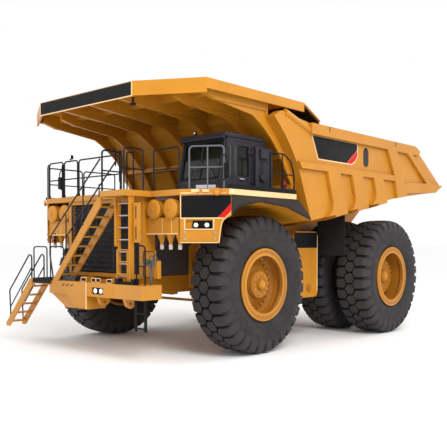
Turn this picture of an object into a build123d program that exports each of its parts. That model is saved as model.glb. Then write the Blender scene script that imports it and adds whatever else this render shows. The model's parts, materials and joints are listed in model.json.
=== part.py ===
from build123d import *
import os
from math import hypot

os.makedirs("parts", exist_ok=True)

# A rigid-frame mining dump truck. Millimetres, +X towards the front, +Y to the driver's left,
# +Z up, the ground at z = 0. Distances along the truck are measured ahead of the rear axle.

# ---------------------------------------------------------------- driving dimensions
rear_axle_x = -2600          # the rear axle's place in the frame
wheelbase = 5905
drawn_wheelbase = 5905       # the front end is drawn for this wheelbase, and moves with the front axle
front_shift = wheelbase - drawn_wheelbase
front_track = 5610
tyre_radius = 1775
tyre_width = 1080
rim_radius = 890             # bead seat
dual_inner_y = 1740          # middle of the inner rear tyre
dual_outer_y = 3240
kingpin_y = 2000
bore_gap = 0.08              # radial running clearance of a pin in its bore
seat_gap = 0.3               # between pieces that rest on each other

rail_inner_y = 450           # main frame rails
rail_outer_y = 800
rail_top_z = 2700
rail_over_axle_z = 2400
front_rail_top_z = 1960
front_rail_bottom_z = 1500
frame_front_x = 8600
frame_rear_x = -1900

bed_half_width = 3600
bed_panel_y = bed_half_width - 100      # outer face of the side wall between its ribs
bed_inner_half_width = bed_panel_y - 250
bed_rail_top_z = 6070
bed_rail_low_z = 5780
bed_floor_front = (4150, 3440)      # lower edge of the side wall, at its front
bed_floor_break = (-1300, 4400)     # where the tail's flatter floor starts
bed_tail_under = (-3440, 4600)
bed_tail_tip = (-4000, 4870)
bed_wall_bend = (4710, 4780)        # the front wall is straight up to here, then curves forwards
bed_wall_top = (5800, 6060)
floor_vee_depth = 350
floor_plate = 60
front_plate = 60
side_plate = 40
pivot_x, pivot_z = -1650, 3050
pivot_pin_radius = 110
beam_inner_y = rail_inner_y + 5
beam_outer_y = rail_outer_y - 5

canopy_top_z = 6600
canopy_fascia = 340
canopy_plate = 40
canopy_front_x = 9090
canopy_front_half = 1880
canopy_corner_x = 8210
canopy_half_width = bed_half_width - 170
canopy_rear_x = 4390

deck_top_z = 4100
deck_thickness = 140
deck_half_width = 3680
deck_rear_x = 5100
deck_corner_x = 7750
deck_front_x = 8350

cab_right_y, cab_left_y = 1490, 3000
cab_rear_x, cab_front_x = 5360, 7250
cab_roof_z = deck_top_z + 1340
cab_wall = 60

bumper_rear_x, bumper_front_x = frame_front_x, 9200
bumper_bottom_z, bumper_top_z = 1520, 1860
bumper_right_y, bumper_left_y = -1400, 2350

tow_eye_x, tow_eye_z = 8900, 1400
tow_eye_radius, tow_eye_thickness = 55, 90
tow_lug_x, tow_lug_radius = -1990, 50
stair_pivot = (-2240, 1780)
stair_pin_radius = 20

hoist_y = rail_outer_y + 200
hoist_foot = (2000, 1500)
hoist_eye = (2100, 3380)
hoist_radii = (150, 120, 90)        # barrel, middle stage, rod
hoist_pin_radius = 70

steer_arm_x = -500           # arm pin behind the kingpin
tie_rod_x = -760
steer_foot_x, steer_foot_y = -350, 400
steer_level_z = 1390
arm_bottom_z, arm_top_z = 1200, 1290

SIDES = (("left", 1), ("right", -1))


# ---------------------------------------------------------------- drawing planes and helpers
datum_x = rear_axle_x        # where distances along the truck start


def side(y):
    """Side view at y: drawn as (ahead of the rear axle, height), growing to the right-hand side."""
    return Plane(origin=(datum_x, y, 0), x_dir=(1, 0, 0), z_dir=(0, -1, 0))


def across(x):
    """Front view at x: drawn as (y, height), growing forwards."""
    return Plane(origin=(datum_x + x, 0, 0), x_dir=(0, 1, 0), z_dir=(1, 0, 0))


def level(z):
    """Plan view at z: drawn as (ahead of the rear axle, y), growing up."""
    return Plane(origin=(datum_x, 0, z), x_dir=(1, 0, 0), z_dir=(0, 0, 1))


def slab(plane, outline, thickness, mode=Mode.ADD, corner=0):
    """A plate grown from its plane, its corners rounded if a radius is given."""
    with BuildSketch(plane) as face:
        with BuildLine():
            Polyline(*outline, close=True)
        make_face()
        if corner:
            fillet(face.vertices(), radius=corner)
    extrude(face.sketch, amount=thickness, mode=mode)


def block(x, y, z, mode=Mode.ADD):
    """A block between two distances along each axis."""
    with Locations((datum_x + (x[0] + x[1]) / 2, (y[0] + y[1]) / 2, (z[0] + z[1]) / 2)):
        Box(x[1] - x[0], y[1] - y[0], z[1] - z[0], mode=mode)


def place(point):
    return Vector(datum_x + point[0], point[1], point[2])


def bar(start, end, radius, mode=Mode.ADD):
    """A round bar between two points."""
    along = place(end) - place(start)
    with BuildSketch(Plane(origin=place(start), z_dir=along)) as disc:
        Circle(radius)
    extrude(disc.sketch, amount=along.length, mode=mode)


def tube_rail(points, radius, bend=90):
    """A round handrail through points, bent at each corner."""
    places = [place(p) for p in points]
    with BuildLine() as path:
        if len(places) > 2:
            FilletPolyline(*places, radius=bend)
        else:
            Line(*places)
    with BuildSketch(Plane(origin=places[0], z_dir=places[1] - places[0])) as section:
        Circle(radius)
    sweep(section.sketch, path=path.wires()[0])


def turned(axle_x, profile, mode=Mode.ADD):
    """A turned piece about a wheel's axle, from (y, radius) corners."""
    with BuildSketch(Plane(origin=(datum_x + axle_x, 0, tyre_radius),
                           x_dir=(0, 1, 0), z_dir=(1, 0, 0))) as section:
        with BuildLine():
            Polyline(*profile, close=True)
        make_face()
    revolve(section.sketch, axis=Axis((datum_x + axle_x, 0, tyre_radius), (0, 1, 0)), mode=mode)


def both():
    """Adds the mirror image, so that the right-hand side matches the left."""
    mirror(about=Plane.XZ)


def finish(part, label):
    part.label = label
    export_step(part, f"parts/{label}.step")


# ---------------------------------------------------------------- frame rails
rail_bend = 60
ear_thickness = 60
ear_radius = 230
# each rail: high over the rear axle, deep amidships, low at the front
rail_outline = [(frame_rear_x, rail_over_axle_z), (frame_rear_x, rail_top_z), (4200 + front_shift, rail_top_z),
                (5000 + front_shift, front_rail_top_z), (frame_front_x + front_shift, front_rail_top_z),
                (frame_front_x + front_shift, front_rail_bottom_z), (4600 + front_shift, front_rail_bottom_z),
                (4000 + front_shift, 1330), (1750, 1330), (1150, rail_over_axle_z)]

with BuildPart() as frame_rails:
    slab(side(rail_outer_y), rail_outline, rail_outer_y - rail_inner_y, corner=rail_bend)
    # ears that carry the bed's pivot pin, one on each face of the rail
    for y in (rail_outer_y + ear_thickness, rail_inner_y):
        slab(side(y), [(pivot_x - ear_radius, rail_over_axle_z + 80), (pivot_x - ear_radius, pivot_z),
                       (pivot_x + ear_radius, pivot_z), (pivot_x + 420, rail_over_axle_z + 80)],
             ear_thickness)
        bar((pivot_x, y - ear_thickness, pivot_z), (pivot_x, y, pivot_z), ear_radius)
    bar((pivot_x, rail_inner_y - ear_thickness - 20, pivot_z),
        (pivot_x, rail_outer_y + ear_thickness + 20, pivot_z), pivot_pin_radius)
    # the foot pin of the hoist cylinder
    bar((hoist_foot[0], rail_outer_y, hoist_foot[1]),
        (hoist_foot[0], hoist_y + 130, hoist_foot[1]), hoist_pin_radius)
    both()
finish(frame_rails.part, "frame_rails")

# ---------------------------------------------------------------- frame cross members
# rear end and front end along the truck, half the width, bottom and top
cross_members = [(-1850, -1450, rail_inner_y - ear_thickness, rail_over_axle_z + 20, rail_top_z - 40),
                 (1950, 2350, rail_inner_y, 1380, 1900),
                 (4650 + front_shift, 4950 + front_shift, rail_inner_y, 1520, 1900),
                 (8200 + front_shift, 8540 + front_shift, rail_inner_y, 1520, 1900),
                 (wheelbase + steer_foot_x - 200, wheelbase + steer_foot_x + 200, rail_inner_y,
                  front_rail_bottom_z, 1700)]
with BuildPart() as frame_crossmembers:
    for rear, front, half, low, high in cross_members:
        block((rear, front), (-half, half), (low, high))
    # steering cylinder feet, a pin hanging from the last cross member
    for s in (-1, 1):
        bar((wheelbase + steer_foot_x, s * steer_foot_y, front_rail_bottom_z),
            (wheelbase + steer_foot_x, s * steer_foot_y, steer_level_z - 70), 50)
    # rear towing lug
    block((tow_lug_x - 110, tow_lug_x + 140), (-130, 130), (rail_over_axle_z + 20, 2600))
    bar((tow_lug_x, 0, rail_over_axle_z), (tow_lug_x, 0, 2620), tow_lug_radius, mode=Mode.SUBTRACT)
finish(frame_crossmembers.part, "frame_crossmembers")

# ---------------------------------------------------------------- front strut towers
tower_half_length = 250
tower_low_z, tower_high_z = 2350, 3000
strut_radius = 200
strut_rod_radius = 150
with BuildPart() as strut_towers:
    slab(across(wheelbase - tower_half_length),
         [(rail_outer_y, 1600), (rail_outer_y, 2750), (1250, tower_high_z), (kingpin_y, tower_high_z),
          (kingpin_y, tower_low_z), (kingpin_y - 250, tower_low_z)], 2 * tower_half_length)
    bar((wheelbase, kingpin_y, tower_low_z), (wheelbase, kingpin_y, tower_high_z), tower_half_length)
    # the hollow of the box casting, open to front and rear
    slab(across(wheelbase - tower_half_length), [(rail_outer_y + 120, 2080), (rail_outer_y + 120, 2650),
                                                 (1280, 2850), (1560, 2850), (1560, 2420)],
         2 * tower_half_length, mode=Mode.SUBTRACT, corner=60)
    bar((wheelbase, kingpin_y, 2300), (wheelbase, kingpin_y, 3100), strut_radius, mode=Mode.SUBTRACT)
    both()
finish(strut_towers.part, "strut_towers")

# ---------------------------------------------------------------- suspension cylinders
rear_strut_x, rear_strut_y = -900, 625
strut_low_z, strut_cap_z = 2250, 3450
# bottom, top and radius of each band of the front strut
front_strut = [(strut_low_z, tower_low_z - seat_gap, strut_radius + 30), (strut_low_z, 3400, strut_radius),
               (tower_high_z + seat_gap, tower_high_z + 70, strut_radius + 45), (3380, strut_cap_z, strut_radius + 30)]
rear_strut = [(1560, 1640, 150), (1640, 1900, 105), (1900, 1980, 165), (1980, rail_over_axle_z, 150)]
with BuildPart() as suspension_cylinders:
    for low, high, radius in front_strut:
        bar((wheelbase, kingpin_y, low), (wheelbase, kingpin_y, high), radius)
    bar((wheelbase, kingpin_y, strut_low_z), (wheelbase, kingpin_y, 3350), strut_rod_radius + bore_gap,
        mode=Mode.SUBTRACT)
    for low, high, radius in rear_strut:
        bar((rear_strut_x, rear_strut_y, low), (rear_strut_x, rear_strut_y, high), radius)
    both()
finish(suspension_cylinders.part, "suspension_cylinders")

# ---------------------------------------------------------------- rear axle
axle_tube_radius = 330
brake_radius = 560
banjo_radius = 620
with BuildPart() as rear_axle_housing:
    with BuildSketch(Plane(origin=(rear_axle_x, 0, tyre_radius), x_dir=(0, 1, 0), z_dir=(1, 0, 0))) as bowl:
        with BuildLine():
            Polyline((560, 430), (560, 0), (0, 0), (0, banjo_radius), (180, banjo_radius))
            ThreePointArc((180, banjo_radius), (440, 550), (560, 430))
        make_face()
    revolve(bowl.sketch, axis=Axis((rear_axle_x, 0, tyre_radius), (0, 1, 0)))
    turned(0, [(500, 0), (500, 430), (720, 430), (720, brake_radius - 40), (760, brake_radius),
               (1120, brake_radius), (1160, brake_radius - 40), (1160, axle_tube_radius + 40),
               (1180, axle_tube_radius), (3000, axle_tube_radius), (3000, 0)])
    both()
    # the nose that reaches forwards to the frame
    slab(level(1500), [(300, -420), (300, 420), (1600, 180), (1945, 120), (1945, -120), (1600, -180)], 350)
    for s in (-1, 1):
        block((rear_strut_x - 170, -350), (s * rear_strut_y - 150, s * rear_strut_y + 150), (1430, 1560))
finish(rear_axle_housing.part, "rear_axle_housing")

# ---------------------------------------------------------------- wheels
spindle_radius = 200
crown_drop = 30              # how much lower the tread's shoulders are than its middle
tread_half = 440


def tyre_ring(axle_x, middle_y):
    """A tyre: bulged side walls, round shoulders and a crowned tread."""
    half = tyre_width / 2
    bead = rim_radius + seat_gap
    shoulder = tyre_radius - crown_drop
    with BuildSketch(Plane(origin=(rear_axle_x + axle_x, middle_y, tyre_radius),
                           x_dir=(0, 1, 0), z_dir=(1, 0, 0))) as section:
        with BuildLine():
            ThreePointArc((-tread_half, shoulder), (0, tyre_radius), (tread_half, shoulder))
            for s in (-1, 1):
                ThreePointArc((s * tread_half, shoulder), (s * (half - 45), tyre_radius - 90),
                              (s * (half - 25), tyre_radius - 210))
                ThreePointArc((s * (half - 25), tyre_radius - 210), (s * half, (tyre_radius + bead) / 2),
                              (s * (half - 110), bead))
            Line((half - 110, bead), (110 - half, bead))
        make_face()
    revolve(section.sketch, axis=Axis((rear_axle_x + axle_x, middle_y, tyre_radius), (0, 1, 0)))


front_wheel_y = front_track / 2
for name, s in SIDES:
    with BuildPart() as front_tyre:
        tyre_ring(wheelbase, s * front_wheel_y)
    finish(front_tyre.part, f"front_tyre_{name}")

    for place_name, y in (("inner", dual_inner_y), ("outer", dual_outer_y)):
        with BuildPart() as rear_tyre:
            tyre_ring(0, s * y)
        finish(rear_tyre.part, f"rear_{place_name}_tyre_{name}")

    with BuildPart() as front_rim:
        # flange, base tube, dished disc and hub; y runs outwards from the middle of the tyre
        rim = [(-460, rim_radius), (470, rim_radius), (470, 930), (500, 930), (500, 800), (440, 800),
               (400, 770), (250, 830), (130, 800), (70, 700), (200, 380), (330, 340), (330, 150), (400, 130),
               (400, 0), (220, 0), (220, spindle_radius + bore_gap), (-450, spindle_radius + bore_gap),
               (-450, 320), (-100, 380), (20, 820), (-460, 820)]
        turned(wheelbase, [(s * (front_wheel_y + y), r) for y, r in rim])
    finish(front_rim.part, f"front_rim_{name}")

    with BuildPart() as rear_rim:
        # both rims, the spacer between them and the final drive's stepped cover
        rim = [(dual_inner_y - 460, rim_radius), (dual_outer_y + 470, rim_radius),
               (dual_outer_y + 470, 930), (dual_outer_y + 500, 930), (dual_outer_y + 500, 800),
               (dual_outer_y + 440, 800), (dual_outer_y + 400, 770), (dual_outer_y + 300, 830),
               (dual_outer_y - 60, 830), (dual_outer_y - 120, 600), (dual_outer_y - 120, 570),
               (dual_outer_y + 130, 560), (dual_outer_y + 160, 530), (dual_outer_y + 160, 210),
               (dual_outer_y + 230, 190), (dual_outer_y + 250, 160), (dual_outer_y + 250, 0), (3020, 0),
               (3020, axle_tube_radius + bore_gap), (2000, axle_tube_radius + bore_gap), (2000, 480),
               (2900, 520), (2960, 820), (dual_inner_y - 460, 820)]
        turned(0, [(s * y, r) for y, r in rim])
    finish(rear_rim.part, f"rear_rim_{name}")

# ---------------------------------------------------------------- steering
arm_half_width = 110
pin_radius = 50
knuckle_radius = 255
steer_barrel_radius, steer_rod_radius = 90, 55
front_brake_radius = 420
for name, s in SIDES:
    with BuildPart() as knuckle:
        bar((wheelbase, s * kingpin_y, arm_bottom_z), (wheelbase, s * kingpin_y, 2150), knuckle_radius)
        bar((wheelbase, s * kingpin_y, 2150), (wheelbase, s * kingpin_y, 3300), strut_rod_radius)
        bar((wheelbase, s * kingpin_y, tyre_radius), (wheelbase, s * (front_wheel_y + 200), tyre_radius),
            spindle_radius)
        # brake housing between the kingpin and the wheel
        turned(wheelbase, [(s * y, r) for y, r in ((2120, 0), (2120, front_brake_radius - 60),
                                                   (2160, front_brake_radius), (2330, front_brake_radius),
                                                   (2340, front_brake_radius - 30), (2340, 0))])
        with BuildSketch(level(arm_bottom_z)) as arm:
            with Locations((wheelbase, s * kingpin_y)):
                Circle(knuckle_radius)
            with BuildLine():
                Polyline((wheelbase, s * kingpin_y - 200), (wheelbase, s * kingpin_y + 200),
                         (wheelbase + tie_rod_x, s * kingpin_y + arm_half_width),
                         (wheelbase + tie_rod_x, s * kingpin_y - arm_half_width), close=True)
            make_face()
            with Locations((wheelbase + tie_rod_x, s * kingpin_y)):
                Circle(arm_half_width)
        extrude(arm.sketch, amount=arm_top_z - arm_bottom_z)
        # the tie rod's pin, below the arm
        bar((wheelbase + tie_rod_x, s * kingpin_y, arm_bottom_z),
            (wheelbase + tie_rod_x, s * kingpin_y, arm_bottom_z - 100), pin_radius)
    finish(knuckle.part, f"knuckle_{name}")

    # the steering cylinder runs from a foot near the middle out to the arm
    foot = (wheelbase + steer_foot_x, s * steer_foot_y)
    eye = (wheelbase + steer_arm_x, s * kingpin_y)
    run = hypot(eye[0] - foot[0], eye[1] - foot[1])
    along = ((eye[0] - foot[0]) / run, (eye[1] - foot[1]) / run)

    def on_cylinder(distance):
        return (foot[0] + along[0] * distance, foot[1] + along[1] * distance, steer_level_z)

    foot_low, foot_high = (*foot, steer_level_z - 60), (*foot, steer_level_z + 60)
    with BuildPart() as steer_barrel:
        bar(foot_low, foot_high, 110)
        bar(on_cylinder(60), on_cylinder(1080), steer_barrel_radius)
        bar(on_cylinder(1000), on_cylinder(1080), steer_barrel_radius + 15)
        bar(foot_low, foot_high, pin_radius + bore_gap, mode=Mode.SUBTRACT)
        bar(on_cylinder(180), on_cylinder(1080), steer_rod_radius + bore_gap, mode=Mode.SUBTRACT)
    finish(steer_barrel.part, f"steer_barrel_{name}")

    with BuildPart() as steer_rod:
        bar(on_cylinder(560), on_cylinder(run - 60), steer_rod_radius)
        bar((*eye, arm_top_z + 10), (*eye, arm_top_z + 160), 110)
    finish(steer_rod.part, f"steer_rod_{name}")

tie_rod_z = arm_bottom_z - 60
with BuildPart() as tie_rod:
    ends = [((wheelbase + tie_rod_x, s * kingpin_y, tie_rod_z - 45),
             (wheelbase + tie_rod_x, s * kingpin_y, tie_rod_z + 45)) for s in (-1, 1)]
    for low, high in ends:
        bar(low, high, 105)
    bar((wheelbase + tie_rod_x, -kingpin_y, tie_rod_z), (wheelbase + tie_rod_x, kingpin_y, tie_rod_z), 40)
    for low, high in ends:
        bar(low, high, pin_radius + bore_gap, mode=Mode.SUBTRACT)
finish(tie_rod.part, "tie_rod")

# ---------------------------------------------------------------- hoist cylinders
barrel_end, stage_end = 1640, 1700
eye_half_width = 70
hoist_run = hypot(hoist_eye[0] - hoist_foot[0], hoist_eye[1] - hoist_foot[1])
hoist_dir = ((hoist_eye[0] - hoist_foot[0]) / hoist_run, (hoist_eye[1] - hoist_foot[1]) / hoist_run)


def on_hoist(distance, y):
    return (hoist_foot[0] + hoist_dir[0] * distance, y, hoist_foot[1] + hoist_dir[1] * distance)


for name, s in SIDES:
    y = s * hoist_y
    foot_ends = ((hoist_foot[0], y - 100, hoist_foot[1]), (hoist_foot[0], y + 100, hoist_foot[1]))
    with BuildPart() as hoist_barrel:
        bar(*foot_ends, hoist_radii[0])
        bar(on_hoist(90, y), on_hoist(barrel_end, y), hoist_radii[0])
        bar(on_hoist(barrel_end - 80, y), on_hoist(barrel_end, y), hoist_radii[0] + 15)
        bar(*foot_ends, hoist_pin_radius + bore_gap, mode=Mode.SUBTRACT)
        bar(on_hoist(170, y), on_hoist(barrel_end, y), hoist_radii[1] + bore_gap, mode=Mode.SUBTRACT)
    finish(hoist_barrel.part, f"hoist_barrel_{name}")
    with BuildPart() as hoist_stage:
        bar(on_hoist(180, y), on_hoist(stage_end, y), hoist_radii[1])
        bar(on_hoist(230, y), on_hoist(stage_end, y), hoist_radii[2] + bore_gap, mode=Mode.SUBTRACT)
    finish(hoist_stage.part, f"hoist_stage_{name}")
    with BuildPart() as hoist_rod:
        bar(on_hoist(240, y), on_hoist(hoist_run - 60, y), hoist_radii[2])
        bar((hoist_eye[0], y - eye_half_width, hoist_eye[1]), (hoist_eye[0], y + eye_half_width, hoist_eye[1]), 130)
    finish(hoist_rod.part, f"hoist_rod_{name}")

# ---------------------------------------------------------------- bed floor
main_slope = (bed_floor_break[0] - bed_floor_front[0], bed_floor_break[1] - bed_floor_front[1])
tail_slope = (bed_tail_under[0] - bed_floor_break[0], bed_tail_under[1] - bed_floor_break[1])


def floor_z(x):
    """Height of the floor's lower edge at the side wall."""
    if x > bed_floor_break[0]:
        return bed_floor_front[1] + (x - bed_floor_front[0]) * main_slope[1] / main_slope[0]
    return bed_floor_break[1] + (x - bed_floor_break[0]) * tail_slope[1] / tail_slope[0]


def under_floor(x, y):
    """Height of the floor's underside, which is lowest on the centre line."""
    return floor_z(x) - floor_vee_depth * (1 - abs(y) / bed_inner_half_width)


def sloped(x, outline, run):
    """A length grown from a front view at x, along a slope."""
    with BuildSketch(across(x)) as section:
        with BuildLine():
            Polyline(*outline, close=True)
        make_face()
    extrude(section.sketch, amount=hypot(*run), dir=Vector(run[0], 0, run[1]))


def vee(z):
    """Cross-section of the floor plate."""
    w = bed_inner_half_width
    return [(-w, z), (0, z - floor_vee_depth), (w, z), (w, z + floor_plate),
            (0, z + floor_plate - floor_vee_depth), (-w, z + floor_plate)]


with BuildPart() as bed_floor:
    floor_start = bed_floor_front[0] - front_plate
    sloped(floor_start, vee(floor_z(floor_start)),
           (bed_floor_break[0] - floor_start, bed_floor_break[1] - floor_z(floor_start)))
    sloped(bed_floor_break[0], vee(bed_floor_break[1]), tail_slope)
finish(bed_floor.part, "bed_floor")

# ---------------------------------------------------------------- ribs of the side walls
# Each rib hangs from the middle band, leans forwards and sweeps ahead at its foot. A bolster
# carries on from it across the underside of the floor.
band_low_z, band_high_z = 4820, 4990
rib_lean = 0.33
rib_sweep = 400
# front of the rib at the band, and its length along the truck
ribs = [(3470, 640), (2190, 620), (910, 570)]
bolster_depth = 150
cheek_gap, cheek_plate = 100, 40      # beside the middle of the hoist cylinder


def rib_foot(x):
    return x - rib_lean * (band_low_z - floor_z(x))


def rib(x, length):
    knee_z = floor_z(rib_foot(x)) + rib_sweep
    knee = (x - rib_lean * (band_low_z - knee_z), knee_z)
    toe_x = knee[0] + 0.7 * rib_sweep
    heel_x = rib_foot(x) - length
    with BuildSketch(side(bed_half_width)) as face:
        with BuildLine():
            Polyline((toe_x, floor_z(toe_x)), (heel_x, floor_z(heel_x)), (x - length, band_low_z),
                     (x, band_low_z), knee)
            TangentArc(knee, (toe_x, floor_z(toe_x)), tangent=(-rib_lean, -1))
        make_face()
    extrude(face.sketch, amount=bed_half_width - bed_panel_y)


# ---------------------------------------------------------------- beams under the floor
beam_bottom_z = rail_top_z + seat_gap
ejector_top, ejector_tip_z = (1460, 1280), 2540
ejector_half = 40
with BuildPart() as bed_beams:
    # two long beams that rest on the frame rails and end in the pivot's bosses
    for s in (-1, 1):
        near, far = sorted((s * beam_inner_y, s * beam_outer_y))
        tops = [(x, under_floor(x, beam_inner_y) - seat_gap) for x in (4000, bed_floor_break[0], pivot_x - 1700)]
        slab(side(far), [(pivot_x, beam_bottom_z), (4000, beam_bottom_z), *tops, (pivot_x - 250, 3200)], far - near)
        bar((pivot_x, near, pivot_z), (pivot_x, far, pivot_z), 345)
        bar((pivot_x, near, pivot_z), (pivot_x, far, pivot_z), pivot_pin_radius + bore_gap, mode=Mode.SUBTRACT)
    # bolsters across the floor between and beside the beams, one at the foot of each rib
    w = bed_inner_half_width
    between, beside = beam_inner_y - seat_gap, beam_outer_y + seat_gap
    for x, length in ribs:
        front = rib_foot(x)
        z = floor_z(front) - seat_gap
        low = z - bolster_depth
        run = (-length, length * main_slope[1] / -main_slope[0])

        def vee_z(y, edge_z):
            return edge_z - floor_vee_depth * (1 - abs(y) / w)

        sloped(front, [(-between, vee_z(between, z)), (-between, vee_z(between, low)), (0, vee_z(0, low)),
                       (between, vee_z(between, low)), (between, vee_z(between, z)), (0, vee_z(0, z))], run)
        for s in (-1, 1):
            sloped(front, [(s * beside, vee_z(beside, z)), (s * beside, vee_z(beside, low)), (s * w, low),
                           (s * bed_half_width, z - 60), (s * bed_half_width, z), (s * w, z)], run)
    # cheeks on each side of the hoist cylinders' eyes
    for s in (-1, 1):
        for y in (s * hoist_y - cheek_gap - cheek_plate, s * hoist_y + cheek_gap):
            nearest = min(abs(y), abs(y + cheek_plate))
            tops = [(x, under_floor(x, nearest) - seat_gap) for x in (hoist_eye[0] + 260, hoist_eye[0] - 240)]
            slab(side(y + cheek_plate), [*tops, (hoist_eye[0] - 140, hoist_eye[1]), (hoist_eye[0] + 140, hoist_eye[1])],
                 cheek_plate)
            bar((hoist_eye[0], y, hoist_eye[1]), (hoist_eye[0], y + cheek_plate, hoist_eye[1]), 140)
    # rock ejector bars, which hang from the last bolster between the twin tyres
    for s in (-1, 1):
        y = s * (dual_inner_y + dual_outer_y) / 2
        tops = [(x, under_floor(x, abs(y) - ejector_half) - bolster_depth - 2 * seat_gap) for x in ejector_top]
        slab(side(y + ejector_half), [*tops, (ejector_top[1], 3300), (1090, ejector_tip_z + 20),
                                      (1170, ejector_tip_z), (1400, 3300)], 2 * ejector_half)
finish(bed_beams.part, "bed_beams")

# ---------------------------------------------------------------- bed side walls
# Each wall is a box section, with its rail, band, posts and ribs raised on the outside.
raised = bed_half_width - bed_panel_y
wall_arc_middle = (5150, 5420)
post_foot = (-1250, -600)
post_knee = (-1000, -420)


def wall_edge(back=0):
    """The front wall's edge from the floor up, moved back by a distance."""
    low, bend, middle, top = [(x - back, z) for x, z in
                              (bed_floor_front, bed_wall_bend, wall_arc_middle, bed_wall_top)]
    Line(low, bend)
    ThreePointArc(bend, middle, top)


with BuildPart() as bed_side:
    with BuildSketch(side(bed_panel_y)) as panel:
        with BuildLine():
            wall_edge()
            Polyline(bed_wall_top, (5500, 6230), (4250, bed_rail_top_z), (-1850, bed_rail_top_z), (-2210, 5930),
                     bed_tail_tip, bed_tail_under, bed_floor_break, bed_floor_front)
        make_face()
    extrude(panel.sketch, amount=bed_panel_y - bed_inner_half_width)
    outline = side(bed_half_width)
    # top rail and middle band
    slab(outline, [(4250, bed_rail_top_z), (-1850, bed_rail_top_z), (-2210, 5930), (-2100, bed_rail_low_z),
                   (4250, bed_rail_low_z)], raised)
    slab(outline, [(4830, band_high_z), (post_knee[1], band_high_z), (post_knee[1], band_low_z),
                   (4720, band_low_z)], raised)
    # tail post, tail beam and the leaning post between the two rows of panels
    slab(outline, [(-1300, bed_rail_low_z), (-1650, bed_rail_low_z), (-3098, 4870), (-2748, 4870)], raised)
    slab(outline, [(post_knee[0], 4450), bed_tail_under, bed_tail_tip, (-3000, 4900), (-1150, 4800)], raised)
    slab(outline, [(50, bed_rail_low_z), (-550, bed_rail_low_z), (post_knee[0], band_high_z - 10),
                   (post_foot[0], floor_z(post_foot[0])), (post_foot[1], floor_z(post_foot[1])),
                   (post_knee[1], band_high_z - 10)], raised)
    for x, length in ribs:
        rib(x, length)
    # a tube from the rail's front end up to the canopy
    bar((4150, bed_panel_y - 20, 5850), (5330, bed_panel_y - 20, 6220), 85)
finish(bed_side.part, "bed_side_left")
finish(mirror(bed_side.part, about=Plane.XZ), "bed_side_right")

# ---------------------------------------------------------------- bed front wall
fin_ys = (0, 1150, 2300, bed_inner_half_width - 70)
fin_thickness = 50
fin_top_z = 6200
with BuildPart() as bed_front_wall:
    with BuildSketch(side(bed_inner_half_width)) as edge:
        with BuildLine():
            wall_edge()
            wall_edge(front_plate)
            Line(bed_wall_top, (bed_wall_top[0] - front_plate, bed_wall_top[1]))
            Line(bed_floor_front, (bed_floor_front[0] - front_plate, bed_floor_front[1]))
        make_face()
    extrude(edge.sketch, amount=2 * bed_inner_half_width)
    slab(across(bed_floor_front[0] - front_plate),
         [(-bed_inner_half_width, bed_floor_front[1]), (0, bed_floor_front[1] - floor_vee_depth),
          (bed_inner_half_width, bed_floor_front[1])], front_plate)
    # curved fins in front of the wall, which run out under the canopy
    fin_low, fin_out = (4400, 4110), (4780, 4560)
    for y in fin_ys:
        for s in ((1, -1) if y else (1,)):
            with BuildSketch(side(s * y + fin_thickness / 2)) as fin:
                with BuildLine():
                    Polyline((6300, 6040), (7600, fin_top_z), (bed_wall_top[0], fin_top_z), bed_wall_top,
                             (5450, 5790), (5010, 5250), (4680, 4780), fin_low, fin_out)
                    ThreePointArc(fin_out, (5330, 5330), (6300, 6040))
                make_face()
            extrude(fin.sketch, amount=fin_thickness)
    # stiffeners across the wall, between the fins
    for x, z in ((4560, 4300), (4980, 5060)):
        block((x - 60, x + 90), (-bed_inner_half_width + 60, bed_inner_half_width - 60), (z, z + 120))
finish(bed_front_wall.part, "bed_front_wall")

# ---------------------------------------------------------------- canopy
roof_low = canopy_top_z - canopy_plate
side_fascia = 240
beam_half = 60
plan = [(canopy_rear_x, -canopy_half_width), (canopy_corner_x, -canopy_half_width),
        (canopy_front_x, -canopy_front_half), (canopy_front_x, canopy_front_half),
        (canopy_corner_x, canopy_half_width), (canopy_rear_x, canopy_half_width)]
fascias = [(plan[0], plan[1], side_fascia), (plan[1], plan[2], canopy_fascia), (plan[2], plan[3], canopy_fascia),
           (plan[3], plan[4], canopy_fascia), (plan[4], plan[5], side_fascia)]
with BuildPart() as bed_canopy:
    slab(level(roof_low), plan, canopy_plate)
    # the lip round the sides, the front and its swept corners
    for a, b, depth in fascias:
        run = hypot(b[0] - a[0], b[1] - a[1])
        inward = (-(b[1] - a[1]) / run, (b[0] - a[0]) / run)
        inner = [(p[0] + inward[0] * 50, p[1] + inward[1] * 50) for p in (a, b)]
        slab(level(canopy_top_z - depth), [a, b, inner[1], inner[0]], depth - canopy_plate / 2)
    # underside beams, deep over the wall and shallow at the front
    for y in fin_ys:
        for s in ((1, -1) if y else (1,)):
            front = canopy_front_x - beam_half if y < canopy_front_half else canopy_corner_x - beam_half
            slab(side(s * y + beam_half), [(bed_wall_top[0], roof_low), (front, roof_low), (front, 6330),
                                           (7700, fin_top_z + 2), (bed_wall_top[0], fin_top_z + 2)], 2 * beam_half)
    for x in (6500, 7500):
        block((x, x + 120), (-fin_ys[-1], fin_ys[-1]), (6380, roof_low))
    # the rear spill guard, which slopes down over the load
    slab(side(canopy_half_width), [(canopy_rear_x, roof_low), (canopy_rear_x, canopy_top_z), (3620, 6230),
                                   (3620, 6190)], 2 * canopy_half_width)
    slab(side(bed_inner_half_width), [bed_wall_top, (bed_wall_top[0], roof_low), (bed_wall_top[0] - 60, roof_low),
                                      (bed_wall_top[0] - 60, bed_wall_top[1])], 2 * bed_inner_half_width)
finish(bed_canopy.part, "bed_canopy")

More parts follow.
